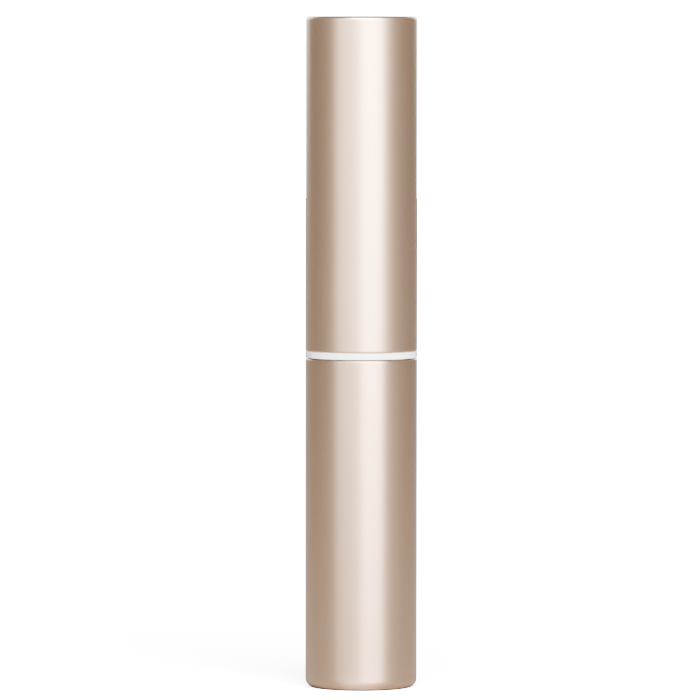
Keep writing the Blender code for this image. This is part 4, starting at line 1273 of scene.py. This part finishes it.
def heating_wire():
    """From the board up through the shoulder, round the comb, into its top and back down inside it."""
    pad = Vector((0, board_low.y - SEAT - WIRE_RADIUS, neck_top + PAD_RISE))
    points = [pad + Vector((LEAD_RADIUS, 0, 0))]
    points += [Vector((LEAD_RADIUS, 0, frame_high.z)), Vector((LEAD_RADIUS, 0, head_high.z))]
    for step in range(round(WINDING_TURNS * POINTS_PER_TURN) + 1):
        turns = step / POINTS_PER_TURN
        early = max(0.0, 1 - turns / SETTLE_TURNS)
        radius = COIL_RADIUS + (LEAD_RADIUS - COIL_RADIUS) * early
        drop = Vector((0, 0, WINDING_START / 2 * early * early))
        points.append(rod_centre(winding_foot + WINDING_PITCH * turns) + around(turns) * radius - drop)
    entry = rod_centre(winding_top)
    points.append(entry + around(WINDING_TURNS) * (ROD_RADIUS - WIRE_RADIUS))
    points.append(entry + around(WINDING_TURNS) * 2 * WIRE_RADIUS)
    points.append(rod_centre(winding_top - 2 * WIRE_RADIUS))
    points += [point for point in reversed(rod_line(0, steps=10)) if point.z < winding_top - 4 * WIRE_RADIUS]
    points.append(pad)
    return wire_piece("heating_wire", points, WIRE_RADIUS, roundness=4, bends=8)


place(heating_wire(), "chassis", "heater_alloy", ALLOY, "heater_wire")

# %% Tip guard
GUARD_RADIUS = 2.5 * MM
GUARD_GRIP = 1.6 * MM
GUARD_CROWN = 1.5 * MM
GUARD_SIDES = 96


def tip_guard():
    """Soft cap on the end of the comb, tilted with it."""
    section = [(0, SEAT + GUARD_CROWN)]
    section += arc((GUARD_RADIUS - GUARD_CROWN, SEAT), GUARD_CROWN, 75, 0, count=12)
    section += foot_edge(GUARD_RADIUS, -GUARD_GRIP, NECK_EDGE)
    section += [(ROD_HOLE, -GUARD_GRIP), (ROD_HOLE, SEAT), (0, SEAT)]
    piece = turn_piece("comb_tip", section, steps=GUARD_SIDES)
    piece.rotation_euler = (math.atan2(4 * ROD_BOW, rod_top - head_high.z), 0, 0)
    piece.location = rod_centre(rod_top)
    bpy.ops.object.transform_apply()
    return piece


place(tip_guard(), "chassis", "soft_tip", SOFT_BLACK, "tip_guard")

# %% [markdown]
# ## Battery and contacts
#
# The cell is a steel can in a printed film that folds over both ends and leaves the button and the base
# bare. It stands on a cone spring and is held by the tray. A silicone ring above the tray keeps the
# barrel from slipping off.

# %% Battery cell
FILM = 0.12 * MM
FILM_FOLD = 1.3 * MM
CRIMP = 0.5 * MM
NUB_RADIUS = 1.9 * MM
NUB_HEIGHT = 1.0 * MM
BAND = 10 * MM
CELL_SIDES = 128


def battery_can():
    can_top = cell_high.z - NUB_HEIGHT - FILM
    radius = cell_high.x - FILM
    section = [(0, cell_high.z)]
    section += top_edge(NUB_RADIUS, cell_high.z, CRIMP / 2)
    section += [(NUB_RADIUS, can_top)]
    section += top_edge(radius, can_top, CRIMP)
    section += foot_edge(radius, cell_low.z + FILM, CRIMP)
    base = radius - FILM_FOLD
    section += [(base, cell_low.z + FILM), (base - FILM, cell_low.z), (0, cell_low.z)]
    return turn_piece("battery_can", section, steps=CELL_SIDES)


def battery_film():
    """Film of even thickness: its outer line one way and its inner line back."""
    top = cell_high.z - NUB_HEIGHT
    foot = cell_low.z
    fold = cell_high.x - FILM_FOLD
    section = []
    for inset in (0, FILM):
        radius = cell_high.x - inset
        line = [(fold, top - inset)] + top_edge(radius, top - inset, CRIMP)
        line += foot_edge(radius, foot + inset, CRIMP) + [(fold, foot + inset)]
        section += reversed(line) if inset else line
    return turn_piece("battery_film", section, closed=True, steps=CELL_SIDES)


place(battery_can(), "chassis", "cell_jacket", can_steel(), "battery_cell")
place(battery_film(), "chassis", "cell_jacket", cell_jacket(cell_high.z - BAND))

# %% Spring, contacts and grip ring
SPRING_TURNS = 4
SPRING_POINTS = 40
SPRING_TOP_RADIUS = 2.2 * MM
SPRING_FOOT_RADIUS = 4.0 * MM
SHEET_EDGE = 0.06 * MM


def cell_spring():
    low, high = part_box("negative_spring")
    start = low.z + WIRE_RADIUS
    rise = high.z - low.z - 2 * WIRE_RADIUS
    points = []
    steps = SPRING_TURNS * SPRING_POINTS
    for step in range(steps + 1):
        share = step / steps
        radius = SPRING_FOOT_RADIUS + (SPRING_TOP_RADIUS - SPRING_FOOT_RADIUS) * share
        angle = 2 * math.pi * SPRING_TURNS * share
        points.append(Vector((radius * math.cos(angle), radius * math.sin(angle), start + rise * share)))
    return wire_piece("cell_spring", points, WIRE_RADIUS, roundness=5)


def grip_band():
    middle = (grip_low.z + grip_high.z) / 2
    radius = (grip_high.z - grip_low.z) / 2
    return turn_piece("grip_band", ring((grip_high.x - radius, middle), radius), closed=True)


place(cell_spring(), "chassis", "nickel_steel", NICKEL, "negative_spring")
for name, node in (("spring_strip", "negative_strip"), ("button_plate", "positive_contact")):
    place(soft_copy(name, node, SHEET_EDGE), "chassis", "nickel_steel", NICKEL, node)
place(grip_band(), "chassis", "grip_silicone", SILICONE, "grip_ring")

# %% [markdown]
# ## Inside the neck
#
# The board, the switch body, the chip, the lamp and the screws are shut in. Their construction shapes
# are right, so they stay and only get their materials.

# %% Materials for the nodes that stay
inside = {"circuit_board": board_laminate(), "control_chip": chip_resin(), "indicator_led": led_resin(),
          "slide_switch": STEEL, "board_screw_lower": STEEL, "board_screw_upper": STEEL}
for node, material in inside.items():
    data = frame["nodes"][node].data
    data.materials.clear()
    data.materials.append(material)
shown = [name for name, node in frame["nodes"].items() if not node.hide_render]
print("construction nodes still shown:", ", ".join(sorted(shown)))
